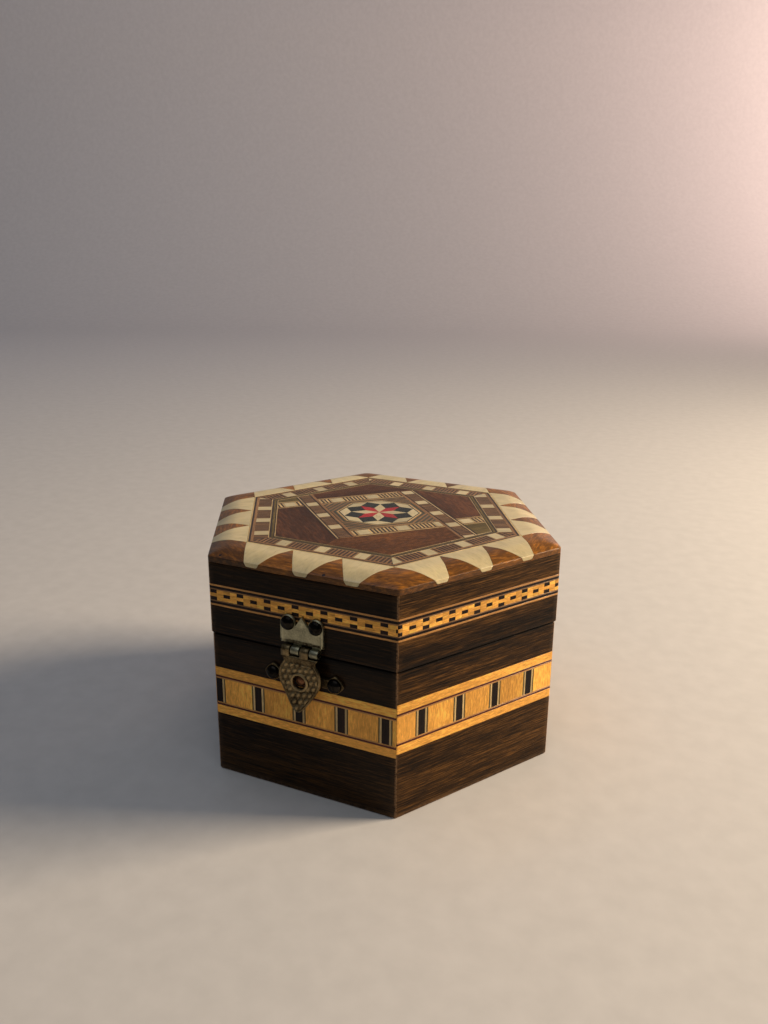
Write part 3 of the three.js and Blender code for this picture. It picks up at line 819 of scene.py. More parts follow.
# How much the veneer above the band differs from that below it.
UPPER_TONES = (-0.3, 0.1, 0.0, 0.1, -0.1, 0.1)
# Painted shade along the seam between lid and body: the veneer's edges there are darkened to stand
# for the shadow in the gap.
SEAM_PAINTED_SHADE = -0.93
# The share of its groove's depth that a band fills.
BAND_FILL = 0.95
# The middle of one dark bar on each side, from the side's middle, in millimetres.
BODY_BAR_STARTS = (-0.9, 5.2, -2.0, 1.4, 3.6, -4.1)
CHECK_STARTS = (-4.9, 1.8, 0.6, -2.2, 3.1, -1.0)


def flat_reach(face):
    """How far the flat of a side runs from its middle, before the corner's rounding."""
    return (face - settings().shell.corner_radius) * MITRE


def corner_reach(face):
    """The same, measured along the surface to the mitre."""
    shell = settings().shell
    return flat_reach(face) + shell.corner_radius * SIXTH / 2 - shell.mitre_seam / 2


def face_point(side, face, t, z, sunk):
    """A point on a side's face, t along it from its middle, sunk below its surface."""
    radius = settings().shell.corner_radius
    outward, along = side_axes(side)
    flat = flat_reach(face)
    if abs(t) <= flat:
        return outward * (face - sunk) + along * t + UP * z
    angle = min((abs(t) - flat) / radius, SIXTH / 2)
    arm = max(radius - sunk, 0.02 * MM)
    distance = face - radius + arm * math.cos(angle)
    reach = math.copysign(flat + arm * math.sin(angle), t)
    return outward * distance + along * reach + UP * z


def wall_station(side, face, profile, hand, swing, inboard):
    """The wall's section at one place. Swing runs from 0, on the flat, to 1, at the mitre."""
    shell = settings().shell
    outward, along = side_axes(side)
    station = []
    angle = swing * SIXTH / 2
    for sunk, z in profile:
        distance = face - sunk
        reach = distance * MITRE
        if sunk < shell.corner_radius:
            arm = shell.corner_radius - sunk
            distance = face - shell.corner_radius + arm * math.cos(angle)
            reach = min(flat_reach(face) + arm * math.sin(angle), distance * MITRE)
        reach -= shell.mitre_seam / 2
        station.append(outward * distance + along * hand * (reach - inboard) + UP * z)
    return station


def wall(bench, side, face, inner, foot, top, band, bevel):
    """One veneered side with the band's groove, mitred at both ends, worn along its edges and with
    painted shade on its edge at the seam.
    """
    shell = settings().shell
    groove_foot = lowest(band, 2) - GLUE_LINE
    groove_top = highest(band, 2) + GLUE_LINE
    near = 1.2 * MM
    depth = face - inner
    third = bevel * 0.3
    on_body = foot == 0
    foot_wear = 0.5 if on_body else 0.0
    bare = bench.chance.uniform(-0.06, 0.06)
    low = WALL_TONES_AND_SHADE[side]
    high = low + UPPER_TONES[side]
    # The edges at the seam between lid and body get painted shade for the gap.
    foot_tone = low if on_body else SEAM_PAINTED_SHADE
    top_tone = SEAM_PAINTED_SHADE if on_body else high
    outline = (
        (depth, foot, 0.0, "carcass_wood", bare),
        (shell.veneer, foot, 0.0, "veneer", low),
        (bevel, foot, foot_wear, "veneer", foot_tone),
        (third, foot + third, foot_wear, "veneer", foot_tone),
        (0.0, foot + bevel, foot_wear / 2, "veneer", low),
        (0.0, foot + bevel + near, 0.0, "veneer", low),
        (0.0, groove_foot, 0.0, "carcass_wood", bare),
        (shell.groove, groove_foot, 0.0, "carcass_wood", bare),
        (shell.groove, groove_top, 0.0, "carcass_wood", bare),
        (0.0, groove_top, 0.0, "veneer", high),
        (0.0, top - near, 0.0, "veneer", high),
        (0.0, top - bevel / 2, 0.0, "veneer", top_tone),
        (bevel / 6, top - bevel / 6, 0.0, "veneer", top_tone),
        (bevel / 2, top, 0.0, "veneer", top_tone),
        (shell.veneer, top, 0.0, "carcass_wood", bare),
        (depth, top, 0.0, "carcass_wood", bare),
    )
    profile = [(sunk, z) for sunk, z, *_ in outline]
    swings = [(1.0, 0.0, 1.0), (0.7, 0.0, 0.95), (0.35, 0.0, 0.1), (0.0, near, 0.0)]
    stations = []
    wear = []
    for hand, order in ((-1, swings), (1, swings[::-1])):
        for swing, inboard, corner_wear in order:
            stations.append(wall_station(side, face, profile, hand, swing, inboard))
            wear.extend(
                min(1.0, edge + corner_wear) if sunk < shell.veneer else 0.0
                for sunk, _, edge, *_ in outline
            )
    _, along = side_axes(side)
    lean = bench.chance.uniform(-0.03, 0.03)
    fibres = (along + UP * lean).normalized()
    grain = bench.cut_of(fibres, UP)
    looks = [look for *_, look, _ in outline]
    tones = [tone for *_, tone in outline]
    loft(bench, stations, "carcass_wood", grain, bare, wear, looks, tones)


def bar(bench, side, face, left, right, low, high, look, upright=False, tone=None):
    """A bar of marquetry let into a wall, which follows the rounding of the corners."""
    shell = settings().shell
    ease = shell.ease
    depth = BAND_FILL * shell.groove
    end = corner_reach(face)
    left = max(left, -end)
    right = min(right, end)
    if right - left < 3 * ease:
        return
    flat = flat_reach(face)
    middle = (flat + end) / 2
    turns = [t for t in (-middle, -flat, flat, middle) if left + ease < t < right - ease]
    stations = []
    for t in [left, left + ease, *turns, right - ease, right]:
        crown = ease if t in (left, right) else 0.0
        section = [(low, depth), (low, ease), (low + ease, crown)]
        section += [(high - ease, crown), (high, ease), (high, depth)]
        stations.append([face_point(side, face, t, z, sunk) for z, sunk in section])
    _, along = side_axes(side)
    grain = bench.cut_of(UP, along) if upright else bench.cut_of(along, UP)
    shift = bench.chance.uniform(-0.16, 0.1) if tone is None else tone
    loft(bench, stations, look, grain, shift)


def border_lines(bench, side, face, node, layers):
    """Thin strips along both borders of a band. Gives the height that is left between them."""
    reach = corner_reach(face)
    low = lowest(node, 2)
    high = low + (highest(node, 2) - low)
    for look, thickness in layers:
        step = thickness * MM
        bar(bench, side, face, -reach, reach, low, low + step, look)
        bar(bench, side, face, -reach, reach, high - step, high, look)
        low += step
        high -= step
    return low, high


def body_band(bench, side, node):
    """Golden strips, fine lines, and golden blocks parted by dark bars."""
    marquetry = settings().marquetry
    face = BODY_FACE
    layers = (("satinwood", 2.25), ("red_line", 0.5), ("tan_line", 0.35))
    low, high = border_lines(bench, side, face, node, layers)
    reach = corner_reach(face)
    pitch = marquetry.bar_pitch * bench.chance.uniform(0.98, 1.03)
    first = BODY_BAR_STARTS[side] * MM
    cream = 0.5 * MM
    olive = 0.35 * MM
    around = marquetry.bar_width / 2 + cream + olive
    parting = (
        ("olive_line", olive),
        ("cream_line", cream),
        ("ebony", marquetry.bar_width),
        ("cream_line", cream),
        ("olive_line", olive),
    )
    start = -reach
    number = math.floor((-reach - first) / pitch)
    while first + number * pitch - around <= reach:
        centre = first + number * pitch
        number += 1
        if centre + around < -reach:
            continue
        block_tone = bench.chance.uniform(-0.24, 0.1)
        bar(bench, side, face, start, centre - around, low, high, "satinwood", True, block_tone)
        start = centre - around
        for look, width in parting:
            bar(bench, side, face, start, start + width, low, high, look, True)
            start += width
    bar(bench, side, face, start, reach, low, high, "satinwood", True)


def lid_band(bench, side, node):
    """Three rows of checks between fine lines."""
    check = settings().marquetry.check_width
    face = LID_FACE
    layers = (("tan_line", 0.45), ("ebony", 0.65), ("tan_wood", 0.3))
    low, high = border_lines(bench, side, face, node, layers)
    reach = corner_reach(face)
    rows = 3
    row_height = (high - low) / rows
    first = CHECK_STARTS[side] * MM - check / 2
    count = math.ceil(2 * reach / check) + 4
    for row in range(rows):
        shift = 0 if row == 1 else 2
        base = low + row * row_height
        for i in range(-count, count):
            left = first + i * check
            right = left + check
            if right < -reach or left > reach:
                continue
            dark = (i - shift) % 4 == 0
            look = "ebony" if dark else "satinwood"
            tone = None if dark else bench.chance.uniform(-0.28, 0.08)
            bar(bench, side, face, left, right, base, base + row_height, look, dark, tone)


# ------------------------------------------------------------------ the toothed edge

# Thickness of teeth and corner blocks, the rounding of their borders, and the gap between them.
TOOTH_DEPTH = 0.9 * MM
TOOTH_EASE = 0.05 * MM
TOOTH_GAP = 0.02 * MM
# Rounding of a bone tooth's outer corners.
TIP_ROUNDING = 0.35 * MM
# Where the brown wood starts, down the surface from the ring.
BROWN_START = 0.45 * MM
# Depth of the plain wood that the teeth are glued on.
GROUND_DEPTH = 0.93 * MM
# How much lighter or darker each corner block is than the wood's middle colour.
CORNER_TONES = (-0.22, 0.12, -0.1, -0.3, -0.35, -0.4)
# (side, along it from its middle, down the surface from the ring) of the wax-filled holes.
FILLED_HOLES = ((0, 6.3, 8.7), (0, -22.0, 8.3))


def edge_profile():
    """The edge's surface from the ring outwards and down, as (distance, height) points."""
    edge = settings().edge
    outer = LID_FACE
    arris_z = EDGE_FOOT + edge.face_height
    crest = RING_OUTER + edge.flat_width
    fall = LID_TOP - arris_z
    path = [(RING_OUTER + GLUE_LINE, LID_TOP), ((RING_OUTER + crest) / 2, LID_TOP)]
    for step in range(9):
        share = 1 - step / 9
        rise = 4 * share * (1 - share) * edge.slope_bulge
        path.append((outer - share * (outer - crest), arris_z + share * fall + rise))
    slope = math.atan2(fall + 4 * edge.slope_bulge, outer - crest)
    radius = edge.arris_radius
    back = radius * math.tan((math.pi / 2 - slope) / 2)
    for step in range(6):
        angle = math.pi / 2 - slope - (math.pi / 2 - slope) * step / 5
        centre = (outer - radius, arris_z - back)
        path.append((centre[0] + radius * math.cos(angle), centre[1] + radius * math.sin(angle)))
    path.append((outer, (arris_z + EDGE_FOOT) / 2 - 0.1 * MM))
    path.append((outer, EDGE_FOOT + GLUE_LINE))
    return path


class EdgeSurface:
    """The edge's surface, measured by the distance along it from the ring."""

    def __init__(self):
        self.path = edge_profile()
        self.reach = [0.0]
        for (d0, z0), (d1, z1) in zip(self.path, self.path[1:]):
            self.reach.append(self.reach[-1] + math.hypot(d1 - d0, z1 - z0))
        self.end = self.reach[-1]
        self.tip = self.end - settings().edge.tip_lift
        self.pitch = 2 * RING_OUTER * MITRE / settings().edge.teeth

    def at(self, s):
        """Distance from the box's axis, height, and the surface's direction outwards and up."""
        s = min(max(s, 0.0), self.end)
        i = max(k for k in range(len(self.reach) - 1) if self.reach[k] <= s)
        share = (s - self.reach[i]) / (self.reach[i + 1] - self.reach[i])
        (d0, z0), (d1, z1) = self.path[i], self.path[i + 1]
        span = math.hypot(d1 - d0, z1 - z0)
        lean = ((z0 - z1) / span, (d1 - d0) / span)
        return d0 + (d1 - d0) * share, z0 + (z1 - z0) * share, lean

    def painted_face_shade(self, s):
        """Painted shade: the upright face of the brown wood is darker than its slope, as if less
        light falls on it.
        """
        return -0.3 if s > self.end - settings().edge.face_height else 0.0

    def half_width(self, s):
        """Half the width of a bone tooth."""
        edge = settings().edge
        root = self.pitch / 2
        half = root - (root - edge.tip_half_width) * min(s / self.tip, 1.0)
        into = s - (self.tip - TIP_ROUNDING)
        if into > 0:
            half -= TIP_ROUNDING - math.sqrt(max(TIP_ROUNDING**2 - into**2, 0.0))
        return half

    def sway(self, s):
        """How far a tooth's middle has moved to the right of its root."""
        return settings().edge.tip_sway * min(s / self.tip, 1.0)

    def point(self, side, t, s, sunk):
        outward, along = side_axes(side)
        distance, z, lean = self.at(s)
        return outward * (distance - sunk * lean[0]) + along * t + UP * (z - sunk * lean[1])

    def corner_radius(self, s):
        """Rounding of the corner block at this distance down the surface."""
        edge = settings().edge
        distance, _, _ = self.at(s)
        room = (distance * MITRE - self.corner_start(min(s, self.tip))) / MITRE
        share = min(max((s - 5 * MM) / (4 * MM), 0.0), 1.0)
        share = share * share * (3 - 2 * share)
        wanted = edge.hip_radius + (edge.foot_radius - edge.hip_radius) * share
        return min(wanted, 0.8 * room)

    def corner_start(self, s, hand=1):
        """How far from a side's middle its last bone tooth ends, to the right or to the left."""
        teeth = settings().edge.teeth
        middle = (teeth - 1) / 2 * self.pitch + hand * self.sway(s)
        if s > self.tip:
            return middle
        return middle + self.half_width(min(s, self.tip - TIP_ROUNDING))

    def corner_point(self, side, s, column, sunk):
        """A point on the block between a side and the next. Column is (part, share, shift)."""
        part, share, shift = column
        distance, z, lean = self.at(s)
        radius = self.corner_radius(s)
        start = self.corner_start(s, 1 if part == 0 else -1)
        flat = (distance - radius) * MITRE
        if part == 0:
            t = start + (flat - start) * share + shift
            return self.point(side, t, s, sunk)
        if part == 2:
            t = -flat + (flat - start) * share + shift
            return self.point((side + 1) % 6, t, s, sunk)
        turn = side * SIXTH + SIXTH * share
        radial = Vector((math.sin(turn), -math.cos(turn), 0))
        outward, along = side_axes(side)
        centre = outward * (distance - radius) + along * flat
        return centre + radial * (radius - sunk * lean[0]) + UP * (z - sunk * lean[1])


def surface_rows(surface, start, end):
    """Places down the surface, close together where it bends."""
    inner = [s for s in surface.reach if start + 0.1 * MM < s < end - 0.1 * MM]
    extra = [(a + b) / 2 for a, b in zip(inner, inner[1:]) if b - a > 0.9 * MM]
    ease = 0.06 * MM
    return sorted([start, start + ease, *inner, *extra, end - ease, end])


def columns_at(shares):
    """Places across a tooth as (share, shift), with a rounded border at both sides."""
    inner = [(share, 0.0) for share in shares]
    return [(0.0, 0.0), (0.0, TOOTH_EASE), *inner, (1.0, -TOOTH_EASE), (1.0, 0.0)]


def bone_teeth(bench, side, surface):
    """The bone teeth of one side, from the ring down to just above the foot."""
    teeth = settings().edge.teeth
    outward, along = side_axes(side)
    columns = columns_at((0.2, 0.4, 0.6, 0.8))
    rows = surface_rows(surface, 0.02 * MM, surface.tip)
    rows[-1:] = [surface.tip - 0.25 * MM, surface.tip - 0.12 * MM, surface.tip]
    rows.sort()
    for tooth in range(teeth):
        centre = (tooth - (teeth - 1) / 2) * surface.pitch

        def point(s, column, sunk):
            share, shift = column
            half = surface.half_width(s) - TOOTH_GAP
            middle = centre + surface.sway(s)
            return surface.point(side, middle + half * (2 * share - 1) + shift, s, sunk)

        grain = bench.cut_of(outward, along)
        tone = bench.chance.uniform(-0.13, -0.01)
        skin(bench, rows, columns, point, TOOTH_DEPTH, TOOTH_EASE, "bone", grain, tone)


def brown_wood(bench, surface, columns, point, grain, tone):
    """A piece of brown wood, with painted shade on the edge's upright face."""
    rows = surface_rows(surface, BROWN_START, surface.end)
    rows = sorted([*rows, surface.tip - 0.02 * MM, surface.tip + 0.03 * MM])
    slab = (TOOTH_DEPTH, TOOTH_EASE, "edge_wood", grain, tone, surface.painted_face_shade)
    skin(bench, rows, columns, point, *slab)


def brown_teeth(bench, side, surface):
    """The brown wood between the bone teeth of one side."""
    teeth = settings().edge.teeth
    outward, along = side_axes(side)
    columns = columns_at((0.12, 0.3, 0.5, 0.7, 0.88))
    for number in range(teeth - 1):
        left_tooth = (number - (teeth - 1) / 2) * surface.pitch
        right_tooth = left_tooth + surface.pitch

        def point(s, column, sunk):
            share, shift = column
            half = surface.half_width(s) if s <= surface.tip else 0.0
            left = left_tooth + half + TOOTH_GAP + surface.sway(s)
            right = right_tooth - half - TOOTH_GAP + surface.sway(s)
            return surface.point(side, left + (right - left) * share + shift, s, sunk)

        grain = bench.cut_of(along, outward)
        tone = bench.chance.uniform(-0.3, 0.1)
        brown_wood(bench, surface, columns, point, grain, tone)


def corner_block(bench, side, surface):
    """The brown block on the corner between a side and the next."""
    outward, _ = side_axes(side)
    following, _ = side_axes((side + 1) % 6)
    columns = [(0, 0.0, 0.0), (0, 0.0, TOOTH_EASE), (0, 0.4, 0.0), (0, 0.75, 0.0)]
    columns += [(1, i / 8, 0.0) for i in range(9)]
    columns += [(2, 0.25, 0.0), (2, 0.6, 0.0), (2, 1.0, -TOOTH_EASE), (2, 1.0, 0.0)]

    def point(s, column, sunk):
        return surface.corner_point(side, s, column, sunk)

    radial = (outward + following).normalized()
    grain = bench.cut_of(UP.cross(radial), radial)
    brown_wood(bench, surface, columns, point, grain, CORNER_TONES[side])


def edge_ground(bench, side, surface):
    """The plain wood that the teeth are glued on."""
    sunk = GROUND_DEPTH
    foot = EDGE_FOOT + GLUE_LINE
    stations = []
    outward, along = side_axes(side)
    for hand in (-1, 1):
        station = [(RING_OUTER + GLUE_LINE, foot)]
        for s in surface.reach[:-1]:
            distance, z, lean = surface.at(s)
            inner = min(distance - sunk * lean[0], LID_FACE - sunk)
            station.append((inner, z - sunk * lean[1]))
        station.append((LID_FACE - sunk, foot))
        stations.append(
            [outward * d + along * hand * (d * MITRE - 0.03 * MM) + UP * z for d, z in station]
        )
    loft(bench, stations, "carcass_wood", bench.cut_of(along, outward))


def filled_hole(bench, side, surface, t, s):
    """A small hole in the edge, filled with dark wax."""
    outward, _ = side_axes(side)
    _, _, lean = surface.at(s)
    way = outward * lean[0] + UP * lean[1]
    radius = 0.4 * MM
    deep = 0.3 * MM
    profile = [(0.0, 0.0), (radius, 0.0), (radius, deep), (0.6 * radius, deep + 0.03 * MM)]
    profile.append((0.0, deep + 0.04 * MM))
    turned(bench, profile, surface.point(side, t, s, deep), way, "filler", None, 16)


# ------------------------------------------------------------------ marquetry of the lid

# The middle of one bone square on each side of the ring, in millimetres.
RING_STARTS = (-0.5, 3.6, -4.4, -2.0, -0.3, 2.4)
# The lattice's own directions: U runs to the front right, V to the back right.
LATTICE_U = Vector((math.sqrt(0.5), -math.sqrt(0.5)))
LATTICE_V = Vector((math.sqrt(0.5), math.sqrt(0.5)))
# The star and its frames turn by this from one of their eight parts to the next, in degrees.
EIGHTH = 45


def ladder(bench, place, low, high, near, far, start, limits, looks, fibres):
    """Bone squares with fine bars between them, along a strip."""
    marquetry = settings().marquetry
    pitch = marquetry.square_pitch
    square = marquetry.square_length
    slices = 15
    thin = (pitch - square) / slices
    number = math.floor((low - start) / pitch) - 1
    while start + (number - 1) * pitch < high:
        centre = start + number * pitch
        number += 1
        cells = [(centre - square / 2, centre + square / 2, "bone")]
        for i in range(slices):
            left = centre + square / 2 + i * thin
            cells.append((left, left + thin, looks[i % 2]))
        for left, right, look in cells:
            left = max(left, low)
            right = min(right, high)
            if right - left < 0.1 * MM:
                continue
            outline = [(left, near), (right, near), (right, far), (left, far)]
            polygon = clipped([place(*corner) for corner in outline], limits)
            tile(bench, polygon, look, fibres)


def strip(bench, place, low, high, near, far, limits, look, fibres):
    outline = [(low, near), (high, near), (high, far), (low, far)]
    tile(bench, clipped([place(*corner) for corner in outline], limits), look, fibres)


def ring_marquetry(bench):
    """The six mitred bands round the lid."""
    layers = (
        ("cream_line", 0.3),
        ("ladder_dark", 0.5),
        ("tan_wood", 0.7),
        ("ladder", 3.6),
        ("cream_line", 0.2),
        ("ladder_dark", 0.5),
        ("olive_wood", 0.55),
        ("ladder_dark", 0.3),
        ("cream_line", 0.2),
    )
    for side in range(6):
        outward, along = side_axes(side)
        flat_out = Vector(outward[:2])
        flat_along = Vector(along[:2])
        seam = 0.03 * MM
        mitres = [(flat_along * hand - flat_out * MITRE, -seam) for hand in (-1, 1)]

        def place(t, distance):
            return flat_out * distance + flat_along * t

        far = RING_OUTER
        reach = RING_OUTER * MITRE
        for look, thickness in layers:
            near = far - thickness * MM
            if look == "ladder":
                looks = ("tan_wood", "ladder_dark")
                start = RING_STARTS[side] * MM
                ladder(bench, place, -reach, reach, near, far, start, mitres, looks, flat_out)
            else:
                strip(bench, place, -reach, reach, near, far, mitres, look, flat_along)
            far = near


def lattice_place(u, v):
    """A point on the lid, from its place along the lattice's own directions."""
    marquetry = settings().marquetry
    half = math.sqrt(0.5)
    return Vector((marquetry.lattice_x + (u + v) * half, marquetry.lattice_y + (v - u) * half))


def field_limits():
    """The inside of the ring."""
    reach = RING_OUTER - settings().marquetry.ring_width + 0.02 * MM
    return [(Vector(side_axes(side)[0][:2]), reach) for side in range(6)]


def lattice_strips():
    """(runs along u, low end, high end, inner side, outer side, first square) of each strip."""
    marquetry = settings().marquetry
    inner = marquetry.lattice_inner
    outer = marquetry.lattice_outer
    far = 60 * MM
    return (
        (True, -far, outer, -inner, -outer, -2.4),
        (True, -outer, far, inner, outer, 5.8),
        (False, -inner, inner, inner, outer, 1.5),
        (False, outer, far, inner, outer, 19.6),
        (False, -inner, inner, -inner, -outer, 3.6),
        (False, -far, -outer, -inner, -outer, -20.9),
    )


def lattice_marquetry(bench):
    """The strips that cross round the star. The long ones have strong dark lines."""
    long_layers = (
        ("tan_wood", 0.75),
        ("ladder_dark", 0.4),
        ("ladder", 3.1),
        ("ladder_dark", 0.35),
        ("cream_line", 0.35),
        ("ladder_dark", 0.45),
    )
    cross_layers = (
        ("cream_line", 0.3),
        ("ladder_dark", 0.2),
        ("tan_wood", 0.45),
        ("ladder", 3.5),
        ("tan_wood", 0.35),
        ("ladder_dark", 0.2),
        ("cream_line", 0.4),
    )
    limits = field_limits()
    for runs_along_u, low, high, inner, outer, start in lattice_strips():
        layers = long_layers if runs_along_u else cross_layers
        looks = ("tan_wood", "ladder_dark") if runs_along_u else ("cream_line", "ladder_dark")
        fibres = LATTICE_U if runs_along_u else LATTICE_V
        other = LATTICE_V if runs_along_u else LATTICE_U

        def place(run, width):
            return lattice_place(run, width) if runs_along_u else lattice_place(width, run)

        direction = 1 if outer > inner else -1
        near = inner
        for look, thickness in layers:
            far = near + direction * thickness * MM
            if look == "ladder":
                reach = 40 * MM
                ends = (max(low, -reach), min(high, reach))
                ladder(bench, place, *ends, near, far, start * MM, limits, looks, other)
            else:
                strip(bench, place, low, high, near, far, limits, look, fibres)
            near = far


def field(bench, limits, look, fibres, tone):
    reach = 60 * MM
    outline = [Vector((x * reach, y * reach)) for x, y in ((-1, -1), (1, -1), (1, 1), (-1, 1))]
    tile(bench, clipped(outline, [*field_limits(), *limits]), look, fibres, tone)


def lattice_limit(direction, reach, hand):
    """Everything on one side of a line across the lattice."""
    origin = lattice_place(0, 0)
    return (direction * hand, origin.dot(direction) * hand + reach)


def mahogany_fields(bench):
    """The four large fields, parted where two meet at a corner of the lattice."""
    marquetry = settings().marquetry
    diagonal = (LATTICE_U + LATTICE_V).normalized()
    fields = (
        (LATTICE_V, LATTICE_U, 1, "mahogany", -0.12),
        (LATTICE_U, LATTICE_V, -1, "curly_wood", 0.1),
        (LATTICE_V, LATTICE_U, -1, "mahogany", 0.15),
        (LATTICE_U, LATTICE_V, 1, "mahogany", 0.0),
    )
    for beyond, fibres, hand, look, tone in fields:
        limits = [
            lattice_limit(beyond, -marquetry.lattice_outer, hand),
            lattice_limit(fibres, marquetry.lattice_inner, -hand),
            lattice_limit(diagonal, 0, hand),
        ]
        field(bench, limits, look, fibres, tone)


def direction_at(degrees):
    angle = math.radians(degrees)
    return Vector((math.cos(angle), math.sin(angle)))


def octagon_part(middle, k, near, far):
    """One of the eight parts of an octagonal band, and the direction along it."""
    wedge = 1 / math.cos(math.radians(EIGHTH / 2))
    first = direction_at(EIGHTH * (k - 0.5)) * wedge
    second = direction_at(EIGHTH * (k + 0.5)) * wedge
    outline = [first * near, first * far, second * far, second * near]
    return [middle + p for p in outline], direction_at(EIGHTH * k + 90)


def star_points(middle, edge):
    """The star's lozenges, and the squares and lozenges between its points.

    Each comes with its finish and the direction of its fibres in degrees."""
    flat = edge * (1 + math.sqrt(2))
    for k in range(8):
        petal = EIGHTH * (k + 0.5)
        low = direction_at(EIGHTH * k)
        high = direction_at(EIGHTH * (k + 1))
        tip = (low + high) * edge
        look = "bone" if k % 2 == 0 else "dyed_red"
        yield look, [middle, middle + low * edge, middle + tip, middle + high * edge], petal
        before = direction_at(EIGHTH * (k - 1)) * edge
        square = (low * edge, low * edge + before, low * flat, tip)
        yield "dyed_black", [middle + p for p in square], EIGHTH * k
        corner = direction_at(petal) * flat / math.cos(math.radians(EIGHTH / 2))
        lozenge = (tip, low * flat, corner, high * flat)
        yield "bone", [middle + p for p in lozenge], petal + 90


def star_marquetry(bench):
    """An eight-pointed star in an octagon, in a square frame."""
    marquetry = settings().marquetry
    origin = lattice_place(0, 0)
    middle = origin + Vector((0.2 * MM, 0.2 * MM))
    inner = marquetry.star_half_width
    for look, polygon, fibres in star_points(middle, inner / (1 + math.sqrt(2))):
        tile(bench, polygon, look, direction_at(fibres))
    reach = marquetry.lattice_inner - 0.03 * MM
    sides = [direction_at(EIGHTH + 90 * turn) for turn in range(4)]
    frame = [(direction, origin.dot(direction) + reach) for direction in sides]
    line_width = 0.35 * MM
    for look in ("dyed_black", "cream_line", "tan_wood"):
        for k in range(8):
            polygon, along = octagon_part(middle, k, inner, inner + line_width)
            tile(bench, clipped(polygon, frame), look, along)
        inner += line_width
    stripes = 14
    stripe_width = 0.62 * MM
    for k in range(8):
        for i in range(stripes):
            near = inner + i * stripe_width
            polygon, along = octagon_part(middle, k, near, near + stripe_width)
            look = "grey_green" if i % 2 == 0 else "tan_wood"
            tile(bench, clipped(polygon, frame), look, along)


# ------------------------------------------------------------------ brass

# Rounding along the cut edges of the sheet.
SHEET_EASE = 0.12 * MM
# The catch's pip is this much smaller than the eyelet's hole.
PIP_CLEARANCE = 0.2 * MM
# Long beads of the hasp: pitch from row to row and along a row, and half their two lengths.
ROW_PITCH = 1.25 * MM
BEAD_PITCH = 1.9 * MM
HALF_BEAD = (0.78 * MM, 0.48 * MM)
BEAD_SLANT = math.radians(62)
# Half widths of the hasp from its top to its tip, as shares of its length and half width.
HASP_OUTLINE = (
    (0.0, 0.88),
    (0.07, 0.74),
    (0.14, 0.8),
    (0.22, 0.92),
    (0.35, 1.0),
    (0.5, 0.95),
    (0.62, 0.8),
    (0.75, 0.6),
    (0.87, 0.4),
    (0.96, 0.2),
    (1.0, 0.06),
)


def pressed_sheet(bench, grid, place, relief, thickness, look, hole=None):
    """Sheet metal pressed into relief. The grid holds rows of (x, z); place adds the way out."""
    rows = len(grid)
    width = len(grid[0])
    tallest = max(relief(x, z) for row in grid for x, z in row) or 1.0
    front = []
    back = []
    wear = []
    for i, row in enumerate(grid):
        for j, (x, z) in enumerate(row):
            border = i in (0, rows - 1) or j in (0, width - 1)
            rise = relief(x, z)
            front.append(place(x, z, thickness - SHEET_EASE if border else thickness + rise))
            back.append(place(x, z, 0.0))
            wear.append(0.9 if border else rise / tallest)
    kept = []
    for i in range(rows - 1):
        for j in range(width - 1):
            a = i * width + j
            corners = [a, a + 1, a + width + 1, a + width]
            points = [grid[k // width][k % width] for k in corners]
            x = sum(p[0] for p in points) / 4
            z = sum(p[1] for p in points) / 4
            if hole and math.hypot(x - hole[0], z - hole[1]) < hole[2]:
                continue
            kept.append(corners)
    under = len(front)
    faces = kept + [[under + i for i in reversed(face)] for face in kept]
    edges = dict.fromkeys(pair for face in kept for pair in zip(face, face[1:] + face[:1]))
    for a, b in edges:
        if (b, a) not in edges:
            faces.append([b, a, under + a, under + b])
    wear += [0.0] * under
    bench.add(front + back, faces, look, bench.cut_of(TO_RIGHT, UP), 0.0, wear)


def knuckle(bench, left, right, look="antique_brass"):
    """A rolled knuckle round the latch's pin."""
    latch = settings().latch
    outer = latch.knuckle_radius
    soft = 0.14 * MM
    span = right - left
    profile = [
        (latch.bore_radius, 0.0),
        (outer - soft, 0.0),
        (outer - 0.3 * soft, 0.3 * soft),
        (outer, soft),
        (outer, span / 2),
        (outer, span - soft),
        (outer - 0.3 * soft, span - 0.3 * soft),
        (outer - soft, span),
        (latch.bore_radius, span),
    ]
    wear = [0.0, 0.2, 0.5, 0.4, 0.2, 0.4, 0.5, 0.2, 0.0]
    origin = Vector((left, LATCH_AXIS_Y, LATCH_AXIS_Z))
    turned(bench, profile, origin, TO_RIGHT, look, wear)


def knuckle_span(number):
    latch = settings().latch
    left = LATCH_X + (number - 2) * latch.knuckle_width
    return left + latch.knuckle_gap / 2, left + latch.knuckle_width - latch.knuckle_gap / 2


def web(bench, left, right, back, front, low, high, look="antique_brass"):
    """The short straight piece of sheet between a knuckle and its plate."""
    ease = 0.08 * MM
    stations = []
    for x, crown in ((left, ease), (left + ease, 0.0), (right - ease, 0.0), (right, ease)):
        section = [(back, low), (front + crown, low), (front + crown, high), (back, high)]
        stations.append([Vector((x, y, z)) for y, z in section])
    loft(bench, stations, look, bench.cut_of(TO_RIGHT, UP), 0.0, [0.4] * 16)


def grid_between(count, rows, outline):
    """Rows of points between the two edges that the outline gives for each share."""
    grid = []
    for i in range(rows + 1):
        share = i / rows
        z, left, right = outline(share)
        cells = [0.5 - 0.5 * math.cos(math.pi * j / count) for j in range(count + 1)]
        cells = [0.35 * c + 0.65 * j / count for j, c in enumerate(cells)]
        grid.append([(left + (right - left) * c, z) for c in cells])
    return grid


